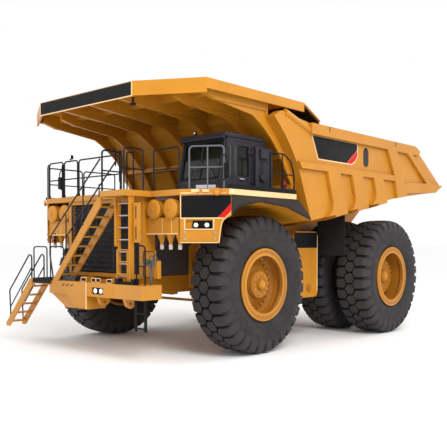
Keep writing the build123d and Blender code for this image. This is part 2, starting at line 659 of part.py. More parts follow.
# ---------------------------------------------------------------- decks
# From here to the cab, everything moves with the front axle.
datum_x = rear_axle_x + front_shift
deck_low_z = deck_top_z - deck_thickness
ladder_y = (1160, 1580)
ladder_landing = (800, 1700)
with BuildPart() as deck:
    outline = [(deck_rear_x, -deck_half_width), (deck_corner_x, -deck_half_width), (deck_front_x, -2700),
               (deck_front_x, -1520), (8500, -1520), (8500, ladder_landing[0]), (bumper_front_x, ladder_landing[0]),
               (bumper_front_x, ladder_landing[1]), (deck_front_x, ladder_landing[1]), (deck_front_x, 2700),
               (deck_corner_x, deck_half_width), (deck_rear_x, deck_half_width)]
    slab(level(deck_low_z), outline, deck_thickness)
    # toe boards along both sides
    for s in (-1, 1):
        near, far = sorted((s * (deck_half_width - 15), s * deck_half_width))
        block((deck_rear_x, deck_corner_x), (near, far), (deck_top_z, deck_top_z + 100))
finish(deck.part, "deck")

# ---------------------------------------------------------------- fenders
arch = [(7820, 2840), (7780, 3380), (7400, 3680), (6640, 3830), (5540, 3740), (4450, 3440)]
arch_bend = 260
arch_plate = 60
fender_outer_y, fender_inner_y = 3700, 2700
fender_liner_y = 1400
fender_low_z = arch[0][1]
fender_face_outer_x, face_plate = 7660, 75
lamp_recess_depth = 60
lamp_recess_y, lamp_recess_z = (2810, 3340), (3175, 3370)


def face_x(y):
    """Where the fender's swept front face is, at a distance out from the middle."""
    share = (y - fender_inner_y) / (fender_outer_y - fender_inner_y)
    return deck_front_x + (fender_face_outer_x - deck_front_x) * share


def arch_strip(outer_y, inner_y, points):
    """A length of the wheel arch, rolled from plate."""
    with BuildSketch(side(outer_y)) as strip:
        with BuildLine():
            FilletPolyline(*points, radius=arch_bend)
            FilletPolyline(*[(x + 12, z + arch_plate) if i else (x + arch_plate, z)
                             for i, (x, z) in enumerate(points)], radius=arch_bend + arch_plate)
            Line(points[0], (points[0][0] + arch_plate, points[0][1]))
            Line(points[-1], (points[-1][0] + 12, points[-1][1] + arch_plate))
        make_face()
    extrude(strip.sketch, amount=outer_y - inner_y)


with BuildPart() as fender:
    arch_strip(fender_outer_y - arch_plate, fender_liner_y, arch[2:])
    arch_strip(fender_outer_y - arch_plate, fender_inner_y, arch)
    # the side plate, cut to the arch
    with BuildSketch(side(fender_outer_y)) as plate_face:
        with BuildLine():
            FilletPolyline(*arch, radius=arch_bend)
            Polyline(arch[-1], (arch[-1][0], arch[-1][1] + 60), (5000, deck_low_z), (7920, deck_low_z),
                     (7920, fender_low_z), arch[0])
        make_face()
    extrude(plate_face.sketch, amount=arch_plate)
    # the swept front face, with the headlamps' recess across it
    slab(level(fender_low_z), [(face_x(fender_inner_y) - face_plate, fender_inner_y),
                               (face_x(fender_outer_y) - face_plate, fender_outer_y),
                               (face_x(fender_outer_y), fender_outer_y), (face_x(fender_inner_y), fender_inner_y)],
         deck_low_z - fender_low_z)
    slab(level(lamp_recess_z[0]), [(face_x(y) + dx, y) for y, dx in
                                   ((lamp_recess_y[0], -lamp_recess_depth), (lamp_recess_y[1], -lamp_recess_depth),
                                    (lamp_recess_y[1], 50), (lamp_recess_y[0], 50))],
         lamp_recess_z[1] - lamp_recess_z[0], mode=Mode.SUBTRACT)
    # the arch cuts the face's outer edge, and nothing stands out in front of the face
    with BuildSketch(side(fender_outer_y + 20)) as opening:
        with BuildLine():
            FilletPolyline(*arch, radius=arch_bend)
            Polyline(arch[-1], (arch[-1][0], fender_low_z - 20), (arch[0][0], fender_low_z - 20), arch[0])
        make_face()
    extrude(opening.sketch, amount=fender_outer_y + 20 - fender_inner_y, mode=Mode.SUBTRACT)
    slab(level(fender_low_z - 20), [(face_x(fender_inner_y), fender_inner_y), (face_x(fender_outer_y), fender_outer_y),
                                    (face_x(fender_outer_y), fender_outer_y + 50),
                                    (deck_front_x + 100, fender_outer_y + 50), (deck_front_x + 100, fender_inner_y)],
         deck_low_z - fender_low_z + 40, mode=Mode.SUBTRACT)
finish(fender.part, "fender_left")
finish(mirror(fender.part, about=Plane.XZ), "fender_right")

# ---------------------------------------------------------------- air cleaners
radiator_half_y = 1520
dust_box_z, dust_cup_height = 3050, 200
with BuildPart() as air_cleaners:
    for y in (1830, 2410):
        bar((7560, y, 3650), (8330, y, 3650), 230)
        bar((8330, y, 3650), (8380, y, 3650), 200)
    # the housing below them, with its dust cups
    block((7850, 8330), (radiator_half_y + seat_gap, 2640), (dust_box_z, 3450))
    for y in (1930, 2240, 2560):
        with Locations(place((8200, y, dust_box_z - dust_cup_height / 2))):
            Cone(bottom_radius=45, top_radius=115, height=dust_cup_height)
        bar((8200, y, dust_box_z - dust_cup_height), (8200, y, 2700), 45)
    both()
finish(air_cleaners.part, "air_cleaners")

# ---------------------------------------------------------------- radiator
core_half_y = 1380
core_low_z, core_high_z = 2060, 3860
louvre_pitch, louvre_height, louvre_count = 135, 90, 13
with BuildPart() as radiator_shroud:
    block((8050, 8450), (-radiator_half_y, radiator_half_y), (front_rail_top_z + 10, deck_low_z))
    block((8000, 8500), (-core_half_y, core_half_y), (core_low_z, core_high_z), mode=Mode.SUBTRACT)
finish(radiator_shroud.part, "radiator_shroud")

with BuildPart() as radiator_grille:
    across_core = (-core_half_y + seat_gap, core_half_y - seat_gap)
    block((8100, 8300), across_core, (core_low_z + seat_gap, core_high_z - seat_gap))
    # louvres that lean out at the bottom
    for i in range(louvre_count):
        z = core_low_z + 30 + i * louvre_pitch
        slab(side(across_core[1]), [(8300, z + louvre_height), (8300, z + louvre_height - 15), (8360, z),
                                    (8370, z + 15)], across_core[1] - across_core[0])
finish(radiator_grille.part, "radiator_grille")

with BuildPart() as engine_block:
    block((5100, 7700), (-780, 780), (front_rail_top_z, 3350))
    block((7700, 8050), (-300, 300), (2400, 3000))
finish(engine_block.part, "engine_block")

# ---------------------------------------------------------------- bumper
stair_x = (8660, 9160)               # the stairs' two stringers
stringer = 40
landing_right_y = -2140
handrail_radius = 20
with BuildPart() as front_bumper:
    block((bumper_rear_x, bumper_front_x - 30), (bumper_right_y, bumper_left_y), (bumper_bottom_z, bumper_top_z))
    slab(level(bumper_bottom_z), [(bumper_front_x - 30, bumper_right_y + 500), (bumper_front_x, bumper_right_y + 530),
                                  (bumper_front_x, bumper_left_y - 30), (bumper_front_x - 30, bumper_left_y)],
         bumper_top_z - bumper_bottom_z)
    # the creased box under it
    slab(across(bumper_rear_x), [(-1350, bumper_bottom_z), (-690, 1180), (250, 1180), (250, bumper_bottom_z)],
         bumper_front_x - bumper_rear_x - 60)
    slab(across(bumper_front_x - 60), [(-930, bumper_top_z - 20), (-250, 1230), (250, 1230),
                                       (250, bumper_top_z - 20)], 60)
    # fog lamps' recess
    block((bumper_front_x - 60, bumper_front_x + 10), (460, 910), (1580, 1750), mode=Mode.SUBTRACT)
    block((bumper_rear_x + 40, bumper_front_x), (landing_right_y, bumper_right_y), (1740, bumper_top_z))
    # cable box between the stair's stringers
    block((9000, 9120), (-880, -320), (bumper_top_z - 20, 1980))
    # handrails of the landing between the two stairs
    for x in (8660, 9180):
        tube_rail([(x, -2110, bumper_top_z - 20), (x, -2110, 2740), (x, -1490, 2740), (x, -1490, bumper_top_z - 20)],
                  handrail_radius - 2)
    # the swing stair's hinge: two lugs and a pin along the truck
    for x in (8700, 9080):
        block((x, x + 40), (-2290, landing_right_y), (1740, 1820))
    bar((8620, *stair_pivot), (9195, *stair_pivot), stair_pin_radius)
    # tow eyes under the beam
    for y in (560, 1560):
        slab(side(y + tow_eye_thickness / 2), [(8700, bumper_bottom_z), (8780, 1330), (8900, 1270), (9020, 1330),
                                               (9100, bumper_bottom_z)], tow_eye_thickness)
        bar((tow_eye_x, y - 60, tow_eye_z), (tow_eye_x, y + 60, tow_eye_z), tow_eye_radius, mode=Mode.SUBTRACT)
finish(front_bumper.part, "front_bumper")


# ---------------------------------------------------------------- stairs and ladders
def treads(count, low, high, half_length):
    """Treads between the two stringers, evenly spaced from one (y, height) to another."""
    for i in range(count):
        share = (i + 0.5) / count
        y, z = low[0] + (high[0] - low[0]) * share, low[1] + (high[1] - low[1]) * share
        block((stair_x[0] + 20, stair_x[1] - 20), (y - half_length, y + half_length), (z - 20, z + 20))


with BuildPart() as diagonal_stair:
    for x in stair_x:
        slab(across(x - stringer / 2), [(-1240, bumper_top_z), (-1000, bumper_top_z), (800, deck_low_z - 220),
                                        (800, deck_low_z), (700, deck_low_z)], stringer)
        tube_rail([(x, -1230, 1900), (x, -1380, 2530), (x, -1360, 3000), (x, 760, deck_top_z + 780)], handrail_radius)
        for y, z in ((-650, 2640), (80, 3400)):
            bar((x, y, z - 150), (x, y, z + 940), handrail_radius - 3)
    treads(8, (-1100, bumper_top_z + 40), (760, deck_top_z - 250), 100)
finish(diagonal_stair.part, "diagonal_stair")

with BuildPart() as front_ladder:
    for y in ladder_y:
        block((8860, 8920), (y - 25, y + 25), (bumper_top_z, deck_low_z))
    for i in range(7):
        bar((8890, ladder_y[0], 2050 + i * 290), (8890, ladder_y[1], 2050 + i * 290), 18)
finish(front_ladder.part, "front_ladder")

with BuildPart() as hanging_ladder:
    for y in (1950, 2290):
        block((9040, 9070), (y - 40, y + 40), (780, bumper_bottom_z))
    for z in (850, 1200):
        block((9040, 9070), (1950, 2290), (z - 20, z + 20))
finish(hanging_ladder.part, "hanging_ladder")

with BuildPart() as swing_stair:
    for x in stair_x:
        slab(across(x - stringer / 2), [(-2210, bumper_top_z), (-2210, 1690), (-3400, 470), (-3560, 470),
                                        (-3560, 560), (-2330, bumper_top_z)], stringer)
    for x in (stair_x[0] + 50, stair_x[1] - 60):
        tube_rail([(x, -3440, 610), (x, -3500, 1480), (x, -2350, 2640), (x, -2350, 1650)], handrail_radius)
        tube_rail([(x, -3467, 1000), (x, -2350, 2180)], handrail_radius - 3)
    treads(5, (-3500, 480), (-2250, 1780), 110)
    bar((8600, *stair_pivot), (9200, *stair_pivot), stair_pin_radius + bore_gap, mode=Mode.SUBTRACT)
finish(swing_stair.part, "swing_stair")

# ---------------------------------------------------------------- handrails
# posts and rails stand just inside the deck's edge
rail_y = 3640
rail_high_z, rail_mid_z = deck_top_z + 990, deck_top_z + 500
foot_z = deck_top_z + seat_gap


def hoop(ends, foot, low=foot_z):
    """A bent rail from one foot over to the other, with a rail half way up; foot(u) places it."""
    a, b = ends
    tube_rail([(*foot(a), low), (*foot(a), rail_high_z), (*foot(b), rail_high_z), (*foot(b), low)], handrail_radius)
    tube_rail([(*foot(a), rail_mid_z), (*foot(b), rail_mid_z)], handrail_radius - 3)


with BuildPart() as deck_rails_left:
    # the rear end of this rail is bent down in two steps, beside the way to the cab's door
    rear, front = deck_rear_x + 40, 6140
    tube_rail([(rear, rail_y, foot_z), (rear, rail_y, rail_mid_z), (rear + 140, rail_y, deck_top_z + 830),
               (rear + 430, rail_y, rail_high_z), (front, rail_y, rail_high_z), (front, rail_y, foot_z)],
              handrail_radius)
    tube_rail([(rear, rail_y, rail_mid_z - 20), (front, rail_y, rail_mid_z - 20)], handrail_radius - 3)
    bar((rear + 500, rail_y, foot_z), (rear + 500, rail_y, rail_high_z), handrail_radius - 3)
finish(deck_rails_left.part, "deck_rails_left")

with BuildPart() as deck_rails_right:
    for ends in ((5140, 6380), (6440, 7660)):
        hoop(ends, lambda x: (x, -rail_y))
finish(deck_rails_right.part, "deck_rails_right")

front_rail_x = deck_front_x - 40
corner_slope = (deck_front_x - deck_corner_x) / (deck_half_width - fender_inner_y)
with BuildPart() as deck_rails_front:
    for ends in ((-2640, -1980), (-1920, -1310), (-1250, 500), (1760, 2640)):
        hoop(ends, lambda y: (front_rail_x, y))
    # the deck's swept corners
    for s in (-1, 1):
        hoop((2860, 3560), lambda y: (front_rail_x - corner_slope * (y - fender_inner_y) - 15, s * y))
        middle = front_rail_x - corner_slope * (3230 - fender_inner_y) - 15
        bar((middle, s * 3230, foot_z), (middle, s * 3230, rail_high_z), handrail_radius - 3)
    # a hoop on each side of the ladder's landing
    for y in (ladder_landing[0] + 40, ladder_landing[1] - 40):
        hoop((8560, bumper_front_x - 40), lambda x: (x, y))
finish(deck_rails_front.part, "deck_rails_front")

# ---------------------------------------------------------------- cab
screen_foot, screen_head = (cab_front_x, deck_top_z + 220), (7010, cab_roof_z)
cab_outline = [(cab_rear_x, deck_top_z), (cab_front_x, deck_top_z), screen_foot, screen_head,
               (5560, cab_roof_z), (cab_rear_x, deck_top_z + 1000)]
cab_inside = [(cab_rear_x + cab_wall, deck_top_z + cab_wall), (cab_front_x - cab_wall, deck_top_z + cab_wall),
              (cab_front_x - cab_wall, deck_top_z + 210), (6955, cab_roof_z), (5590, cab_roof_z),
              (cab_rear_x + cab_wall, deck_top_z + 990)]
screen_low_z, screen_high_z = deck_top_z + 320, deck_top_z + 1260
window_low_z, side_window_top_z, rear_window_top_z = deck_top_z + 450, deck_top_z + 1200, deck_top_z + 950
door_rear_x, door_front_x = 6100, 6700
door_low_z, door_high_z = deck_top_z + 100, deck_top_z + 1260
pane_low_z, pane_high_z = deck_top_z + 420, deck_top_z + 1170
door_gap = 8
hinge_y = cab_left_y + 25
hinge_pin_radius = 10
door_hinge_heights = (deck_top_z + 320, deck_top_z + 1040)
with BuildPart() as cab_shell:
    slab(side(cab_left_y), cab_outline, cab_left_y - cab_right_y)
    slab(side(cab_left_y - cab_wall), cab_inside, cab_left_y - cab_right_y - 2 * cab_wall, mode=Mode.SUBTRACT)
    # windscreen, rear window, right window and the doorway
    block((6800, 7400), (cab_right_y + 110, cab_left_y - 110), (screen_low_z, screen_high_z), mode=Mode.SUBTRACT)
    block((cab_rear_x - 50, cab_rear_x + 100), (cab_right_y + 160, cab_left_y - 160),
          (window_low_z, rear_window_top_z), mode=Mode.SUBTRACT)
    block((5700, 6700), (cab_right_y - 50, cab_right_y + 100), (window_low_z, side_window_top_z), mode=Mode.SUBTRACT)
    block((door_rear_x, door_front_x), (cab_left_y - 100, cab_left_y + 50), (door_low_z, door_high_z),
          mode=Mode.SUBTRACT)
    # the door's hinge pins, each between two lugs
    for z in door_hinge_heights:
        bar((door_rear_x, hinge_y, z - 70), (door_rear_x, hinge_y, z + 70), hinge_pin_radius)
        for low in (z - 70, z + 42):
            block((door_rear_x - 40, door_rear_x + 18), (cab_left_y, hinge_y + 18), (low, low + 28))
    # the box of cab equipment behind the door
    slab(level(deck_top_z), [(5400, cab_left_y), (6030, cab_left_y), (6030, cab_left_y + 90), (5980, cab_left_y + 140),
                             (5400, cab_left_y + 140)], 1180)
finish(cab_shell.part, "cab_shell")

with BuildPart() as cab_roof:
    block((5600, 7120), (cab_right_y - 30, cab_left_y + 30), (cab_roof_z, cab_roof_z + 110))
    fillet(cab_roof.edges().filter_by(Axis.Z), 60)
finish(cab_roof.part, "cab_roof")

with BuildPart() as cab_door:
    block((door_rear_x + door_gap, door_front_x - door_gap), (cab_left_y - 55, cab_left_y - 5),
          (door_low_z + door_gap, door_high_z - door_gap))
    block((door_rear_x + 90, door_front_x - 90), (cab_left_y - 80, cab_left_y + 20),
          (pane_low_z, pane_high_z), mode=Mode.SUBTRACT)
    for z in door_hinge_heights:
        bar((door_rear_x, hinge_y, z - 40), (door_rear_x, hinge_y, z + 40), 18)
        block((door_rear_x, door_rear_x + 150), (cab_left_y - 5, cab_left_y + 13), (z - 40, z + 40))
        bar((door_rear_x, hinge_y, z - 40), (door_rear_x, hinge_y, z + 40), hinge_pin_radius + bore_gap,
            mode=Mode.SUBTRACT)
finish(cab_door.part, "cab_door")

with BuildPart() as door_glass:
    block((door_rear_x + 90 + seat_gap, door_front_x - 90 - seat_gap), (cab_left_y - 34, cab_left_y - 26),
          (pane_low_z + seat_gap, pane_high_z - seat_gap))
finish(door_glass.part, "door_glass")


def screen_x(z):
    """Where the windscreen's outer face is at a height."""
    share = (z - screen_foot[1]) / (screen_head[1] - screen_foot[1])
    return screen_foot[0] + (screen_head[0] - screen_foot[0]) * share


with BuildPart() as cab_glass:
    ends = (screen_low_z + seat_gap, screen_high_z - seat_gap)
    slab(side(cab_left_y - 110 - seat_gap),
         [(screen_x(ends[0]) - 20, ends[0]), (screen_x(ends[1]) - 20, ends[1]),
          (screen_x(ends[1]) - 28, ends[1]), (screen_x(ends[0]) - 28, ends[0])],
         cab_left_y - cab_right_y - 220 - 2 * seat_gap)
    block((5700 + seat_gap, 6700 - seat_gap), (cab_right_y + 26, cab_right_y + 34),
          (window_low_z + seat_gap, side_window_top_z - seat_gap))
    block((cab_rear_x + 26, cab_rear_x + 34), (cab_right_y + 160 + seat_gap, cab_left_y - 160 - seat_gap),
          (window_low_z + seat_gap, rear_window_top_z - seat_gap))
finish(cab_glass.part, "cab_glass")

with BuildPart() as operator_seat:
    block((5850, 6350), (2000, 2500), (deck_top_z + 300, deck_top_z + 460))
    block((5900, 6250), (2100, 2400), (deck_top_z + cab_wall, deck_top_z + 300))
    block((5750, 5900), (2020, 2480), (deck_top_z + 400, deck_top_z + 1100))
finish(operator_seat.part, "operator_seat")

with BuildPart() as steering_console:
    block((6850, 7150), (1700, 2800), (deck_top_z + cab_wall, deck_top_z + 300))
finish(steering_console.part, "steering_console")

# ---------------------------------------------------------------- tanks
datum_x = rear_axle_x
tank_rear_x, tank_front_x = 2420, 3650
tank_corner = 140
with BuildPart() as fuel_tank:
    slab(side(2550), [(tank_rear_x, 1230), (tank_front_x, 1230), (tank_front_x, 3170), (tank_rear_x, 3170)],
         2550 - rail_outer_y, corner=tank_corner)
finish(fuel_tank.part, "fuel_tank")
with BuildPart() as hydraulic_tank:
    slab(side(-rail_outer_y), [(tank_rear_x, 1330), (tank_front_x, 1330), (tank_front_x, 2900), (tank_rear_x, 2900)],
         2400 - rail_outer_y, corner=tank_corner)
finish(hydraulic_tank.part, "hydraulic_tank")

# ---------------------------------------------------------------- mud flaps, which hang from the bed
flap_x, flap_thickness = 2000, 20
with BuildPart() as mud_flaps:
    top_x = flap_x + flap_thickness
    flap_outer_y = bed_inner_half_width - 10
    slab(across(flap_x), [(2270, 2450), (flap_outer_y, 2450),
                          (flap_outer_y, under_floor(top_x, flap_outer_y) - seat_gap),
                          (2270, under_floor(top_x, 2270) - seat_gap)], flap_thickness)
    both()
finish(mud_flaps.part, "mud_flaps")
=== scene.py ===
"""A mining dump truck: its paint, rubber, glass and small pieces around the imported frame. Metres."""
import json
import math

import bmesh
import bpy
from mathutils import Matrix, Vector


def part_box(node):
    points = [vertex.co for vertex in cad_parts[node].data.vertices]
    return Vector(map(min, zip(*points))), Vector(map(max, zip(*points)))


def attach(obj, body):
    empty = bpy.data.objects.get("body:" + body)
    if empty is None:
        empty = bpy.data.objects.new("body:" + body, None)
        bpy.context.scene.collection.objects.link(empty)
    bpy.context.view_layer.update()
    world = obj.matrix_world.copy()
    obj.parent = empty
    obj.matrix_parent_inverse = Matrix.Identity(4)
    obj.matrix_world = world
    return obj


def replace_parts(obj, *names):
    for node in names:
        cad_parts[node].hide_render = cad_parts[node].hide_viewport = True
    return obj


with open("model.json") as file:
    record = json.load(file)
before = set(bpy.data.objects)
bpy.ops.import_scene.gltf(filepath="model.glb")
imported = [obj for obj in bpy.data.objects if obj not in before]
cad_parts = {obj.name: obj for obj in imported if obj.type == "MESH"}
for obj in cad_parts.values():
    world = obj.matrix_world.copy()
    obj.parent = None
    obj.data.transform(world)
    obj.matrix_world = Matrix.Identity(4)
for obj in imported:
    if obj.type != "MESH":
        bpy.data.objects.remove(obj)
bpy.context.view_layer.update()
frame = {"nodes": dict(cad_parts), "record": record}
AHEAD = (1, 0, 0)
LEFT = (0, 1, 0)
UP = (0, 0, 1)
SIDES = (("left", 1), ("right", -1))


def middle_of(node):
    """The middle of a node's box."""
    low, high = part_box(node)
    return (low + high) / 2


rear_axle = middle_of("rear_outer_tyre_left")
front_axle = middle_of("front_tyre_left")


def at(ahead, y, z):
    """A place: its distance ahead of the rear axle, its distance to the driver's left and its height."""
    return Vector((rear_axle.x + ahead, y, z))


# -------- camera
camera_data = bpy.data.cameras.new("camera")
camera_data.sensor_width = 36
camera_data.lens = 54.07
camera_data.shift_y = 0.082
camera_data.clip_end = 1500
camera = bpy.data.objects.new("camera", camera_data)
camera.location = (16.74, 13.91, 2.88)
camera.rotation_euler = (math.radians(88.4), 0, math.radians(131.85))
bpy.context.scene.collection.objects.link(camera)
bpy.context.scene.camera = camera
bpy.context.scene.view_settings.view_transform = "Standard"


# -------- shader nodes
def finish_of(name):
    """A new node material, its tree and its shader."""
    material = bpy.data.materials.new(name)
    material.use_nodes = True
    tree = material.node_tree
    return material, tree, tree.nodes["Principled BSDF"]


def place_of(tree):
    """The place on the object, which every pattern goes by."""
    return tree.nodes.new("ShaderNodeTexCoord").outputs["Object"]


def grain(tree, place, scale, detail=3.0, roughness=0.5):
    """Noise from 0 to 1."""
    noise = tree.nodes.new("ShaderNodeTexNoise")
    noise.inputs["Scale"].default_value = scale
    noise.inputs["Detail"].default_value = detail
    noise.inputs["Roughness"].default_value = roughness
    tree.links.new(place, noise.inputs["Vector"])
    return noise.outputs["Fac"]


def ramp(tree, value, *stops):
    """A colour for a value, from stops of (position, colour)."""
    node = tree.nodes.new("ShaderNodeValToRGB")
    elements = node.color_ramp.elements
    while len(elements) < len(stops):
        elements.new(0.5)
    for element, (position, colour) in zip(elements, stops):
        element.position = position
        element.color = (*colour, 1)
    tree.links.new(value, node.inputs["Fac"])
    return node.outputs["Color"]


def spread(tree, value, low, high, from_low=0.3, from_high=0.7):
    """The value's range laid over low to high."""
    node = tree.nodes.new("ShaderNodeMapRange")
    node.inputs["From Min"].default_value = from_low
    node.inputs["From Max"].default_value = from_high
    node.inputs["To Min"].default_value = low
    node.inputs["To Max"].default_value = high
    tree.links.new(value, node.inputs["Value"])
    return node.outputs["Result"]


def worked_out(tree, a, b, operation="ADD"):
    """A sum of two values, each a number or a socket."""
    node = tree.nodes.new("ShaderNodeMath")
    node.operation = operation
    for socket, value in zip(node.inputs, (a, b)):
        if isinstance(value, (int, float)):
            socket.default_value = value
        else:
            tree.links.new(value, socket)
    return node.outputs[0]


def axes_of(tree, vector):
    """A vector's X, Y and Z sockets."""
    node = tree.nodes.new("ShaderNodeSeparateXYZ")
    tree.links.new(vector, node.inputs[0])
    return node.outputs


def blended(tree, mask, a, b):
    """Colour a where the mask is 0, and b where it is 1."""
    node = tree.nodes.new("ShaderNodeMix")
    node.data_type = "RGBA"
    tree.links.new(mask, node.inputs["Factor"])
    tree.links.new(a, node.inputs["A"])
    tree.links.new(b, node.inputs["B"])
    return node.outputs["Result"]


def relief(tree, height, depth, strength=0.5):
    """A normal that follows a height."""
    bump = tree.nodes.new("ShaderNodeBump")
    bump.inputs["Distance"].default_value = depth
    bump.inputs["Strength"].default_value = strength
    tree.links.new(height, bump.inputs["Height"])
    return bump.outputs["Normal"]


# -------- enamel
YELLOW = ((0.55, 0.226, 0.014), (0.46, 0.183, 0.010))
# A darker copy of the yellow paint: painted shade on the rims, which the tyres shade, and on the fuel tank's
# bosses.
SHADED_YELLOW = ((0.40, 0.158, 0.014), (0.32, 0.120, 0.010))
BLACK = ((0.008, 0.008, 0.009), (0.004, 0.004, 0.005))


def enamel_colour(tree, place, tones):
    """Sprayed enamel: broad shifts of tone, and a little dust in small patches."""
    light, dark = tones
    base = ramp(tree, grain(tree, place, 0.55, 4, 0.6), (0.32, dark), (0.68, light))
    dust = ramp(tree, grain(tree, place, 7.0, 6, 0.7), (0.60, (0, 0, 0)), (0.86, (0.16, 0.16, 0.16)))
    dusty = tree.nodes.new("ShaderNodeRGB")
    dusty.outputs[0].default_value = (*(part * 0.8 + 0.05 for part in light), 1)
    return blended(tree, dust, base, dusty.outputs[0])


def above_line(y, z, rise):
    """A mask: 1 above the line through (y, z) that climbs by rise for each metre of y, and 0 below it."""
    def mask(tree, place):
        axes = axes_of(tree, place)
        climb = worked_out(tree, worked_out(tree, axes["Y"], y, "SUBTRACT"), rise, "MULTIPLY")
        return worked_out(tree, axes["Z"], worked_out(tree, climb, z), "GREATER_THAN")
    return mask


def beyond(reach):
    """A mask: 1 further from the truck's middle line than reach, and 0 nearer."""
    def mask(tree, place):
        distance = worked_out(tree, axes_of(tree, place)["Y"], 0, "ABSOLUTE")
        return worked_out(tree, distance, reach, "GREATER_THAN")
    return mask


def painted(name, tones, rough=(0.32, 0.5), peel=260, gloss=0.5, second=None, where=None):
    """Enamel with a faint orange peel, and with the second pair of tones where a mask says so."""
    material, tree, shader = finish_of(name)
    place = place_of(tree)
    colour = enamel_colour(tree, place, tones)
    if where:
        colour = blended(tree, where(tree, place), colour, enamel_colour(tree, place, second))
    shader.inputs["Specular IOR Level"].default_value = gloss
    tree.links.new(colour, shader.inputs["Base Color"])
    tree.links.new(spread(tree, grain(tree, place, 3.0, 4), *rough), shader.inputs["Roughness"])
    tree.links.new(relief(tree, grain(tree, place, peel, 2), 0.0006, 0.35), shader.inputs["Normal"])
    return material


def two_tone(name, line):
    """Yellow paint whose rails, above a line across the truck, are black."""
    return painted(name, YELLOW, (0.3, 0.5), second=BLACK, where=line)


def edged(name, reach, near, far):
    """Paint that changes tone further from the truck's middle line than reach."""
    return painted(name, near, (0.35, 0.55), gloss=0.25, second=far, where=beyond(reach))


yellow_paint = painted("yellow_paint", YELLOW, gloss=0.3)
# Fenders: the outer side faces, beyond 3.696 m, are dark brown, painted shade standing in for the shaded arch
# under the deck's edge.
fender_paint_shaded_side = edged("fender_paint_shaded_side", 3.696, YELLOW, ((0.030, 0.018, 0.012), (0.016, 0.010, 0.008)))
front_rail_paint = edged("front_rail_paint", 2.80, BLACK, ((0.135, 0.142, 0.150), (0.085, 0.092, 0.100)))
# painted shade: the rims' yellow darkened
shaded_yellow_paint = painted("shaded_yellow_paint", SHADED_YELLOW, gloss=0.3)
# Rear rims: dark brown nearer the middle than 2.88 m, painted shade between the dual tyres; shaded yellow
# further out.
twin_rim_painted_shade = edged("twin_rim_painted_shade", 2.88, ((0.060, 0.034, 0.016), (0.035, 0.022, 0.012)), SHADED_YELLOW)
# A pale, lit copy of the yellow paint: painted highlight on the edges, rims, strips and small boxes that take
# it.
pale_highlight_paint = painted("pale_highlight_paint", ((0.82, 0.56, 0.28), (0.74, 0.47, 0.21)))
black_paint = painted("black_paint", BLACK, (0.35, 0.55), gloss=0.1)
cab_paint = painted("cab_paint", ((0.030, 0.027, 0.033), (0.018, 0.016, 0.020)), (0.4, 0.6), gloss=0.25)
red_paint = painted("red_paint", ((0.62, 0.010, 0.010), (0.50, 0.006, 0.006)), (0.3, 0.45), gloss=0.15)
fitting_grey = painted("fitting_grey", ((0.090, 0.100, 0.085), (0.045, 0.050, 0.044)), (0.35, 0.6), gloss=0.4)
grille_black = painted("grille_black", ((0.034, 0.030, 0.033), (0.018, 0.016, 0.018)), (0.45, 0.7), gloss=0.25)
cab_plastic = painted("cab_plastic", ((0.030, 0.030, 0.033), (0.018, 0.018, 0.021)), (0.5, 0.7), 420, 0.3)
bottle_red = painted("bottle_red", ((0.20, 0.006, 0.010), (0.13, 0.004, 0.007)), (0.3, 0.5), gloss=0.2)
engine_iron = painted("engine_iron", ((0.100, 0.086, 0.088), (0.066, 0.058, 0.060)), (0.55, 0.75), gloss=0.3)
flap_rubber = painted("flap_rubber", ((0.018, 0.017, 0.018), (0.010, 0.010, 0.011)), (0.6, 0.85), 90, 0.2)
# Olive for the cab's liner seen through the glass: a painted reflection of the yellow body in the windscreen.
olive_painted_reflection = painted("olive_painted_reflection", ((0.34, 0.24, 0.030), (0.26, 0.18, 0.022)), (0.6, 0.8), 300, 0.2)
# Darker yellow for the weld beads: painted shade along the creases under the band and beside the ribs.
weld_painted_shade = painted("weld_painted_shade", ((0.30, 0.115, 0.009), (0.22, 0.080, 0.006)), gloss=0.3)
pale_rubber = painted("pale_rubber", ((0.62, 0.56, 0.50), (0.50, 0.45, 0.40)), (0.6, 0.8), 90)
bare_steel = painted("bare_steel", ((0.42, 0.42, 0.43), (0.27, 0.27, 0.28)), (0.3, 0.5))
# A lighter copy of the tyre rubber for the tread blocks: painted light on the blocks against the darker grooves.
lit_tread_rubber = painted("lit_tread_rubber", ((0.039, 0.035, 0.035), (0.022, 0.019, 0.020)), (0.6, 0.8), 130, 0.35)
bumper_paint = two_tone("bumper_paint", above_line(0, 1.865, 0))
diagonal_stair_paint = two_tone("diagonal_stair_paint", above_line(-1.24, 1.90, 1.0825))
swing_stair_paint = two_tone("swing_stair_paint", above_line(-3.56, 0.62, 1.0325))


# -------- rubber, metal, glass and cloth
def mottled(name, grains, dark, light, rough, dark_to_light=(0.3, 0.7)):
    """A finish that drifts between two tones, with one roughness."""
    material, tree, shader = finish_of(name)
    place = place_of(tree)
    tones = zip(dark_to_light, (dark, light))
    tree.links.new(ramp(tree, grain(tree, place, *grains), *tones), shader.inputs["Base Color"])
    shader.inputs["Roughness"].default_value = rough
    return material, tree, shader, place


def uneven(name, grains, dark, light, rough_scale, rough, dark_to_light=(0.3, 0.7)):
    """A finish that drifts between two tones, and whose roughness drifts on a grain of its own."""
    material, tree, shader, place = mottled(name, grains, dark, light, rough[0], dark_to_light)
    tree.links.new(spread(tree, grain(tree, place, rough_scale, 3), *rough), shader.inputs["Roughness"])
    return material, tree, shader, place


rubber, tree, shader, place = uneven("tyre_rubber", (2.2, 5, 0.65), (0.015, 0.013, 0.014),
                                     (0.032, 0.028, 0.028), 9, (0.58, 0.8), (0.3, 0.72))
shader.inputs["Specular IOR Level"].default_value = 0.3
tree.links.new(relief(tree, grain(tree, place, 130, 4), 0.002, 0.5), shader.inputs["Normal"])

chrome, tree, shader, place = uneven("rod_chrome", (14, 3), (0.62, 0.62, 0.64), (0.82, 0.82, 0.83),
                                     60, (0.12, 0.28))
shader.inputs["Metallic"].default_value = 1.0

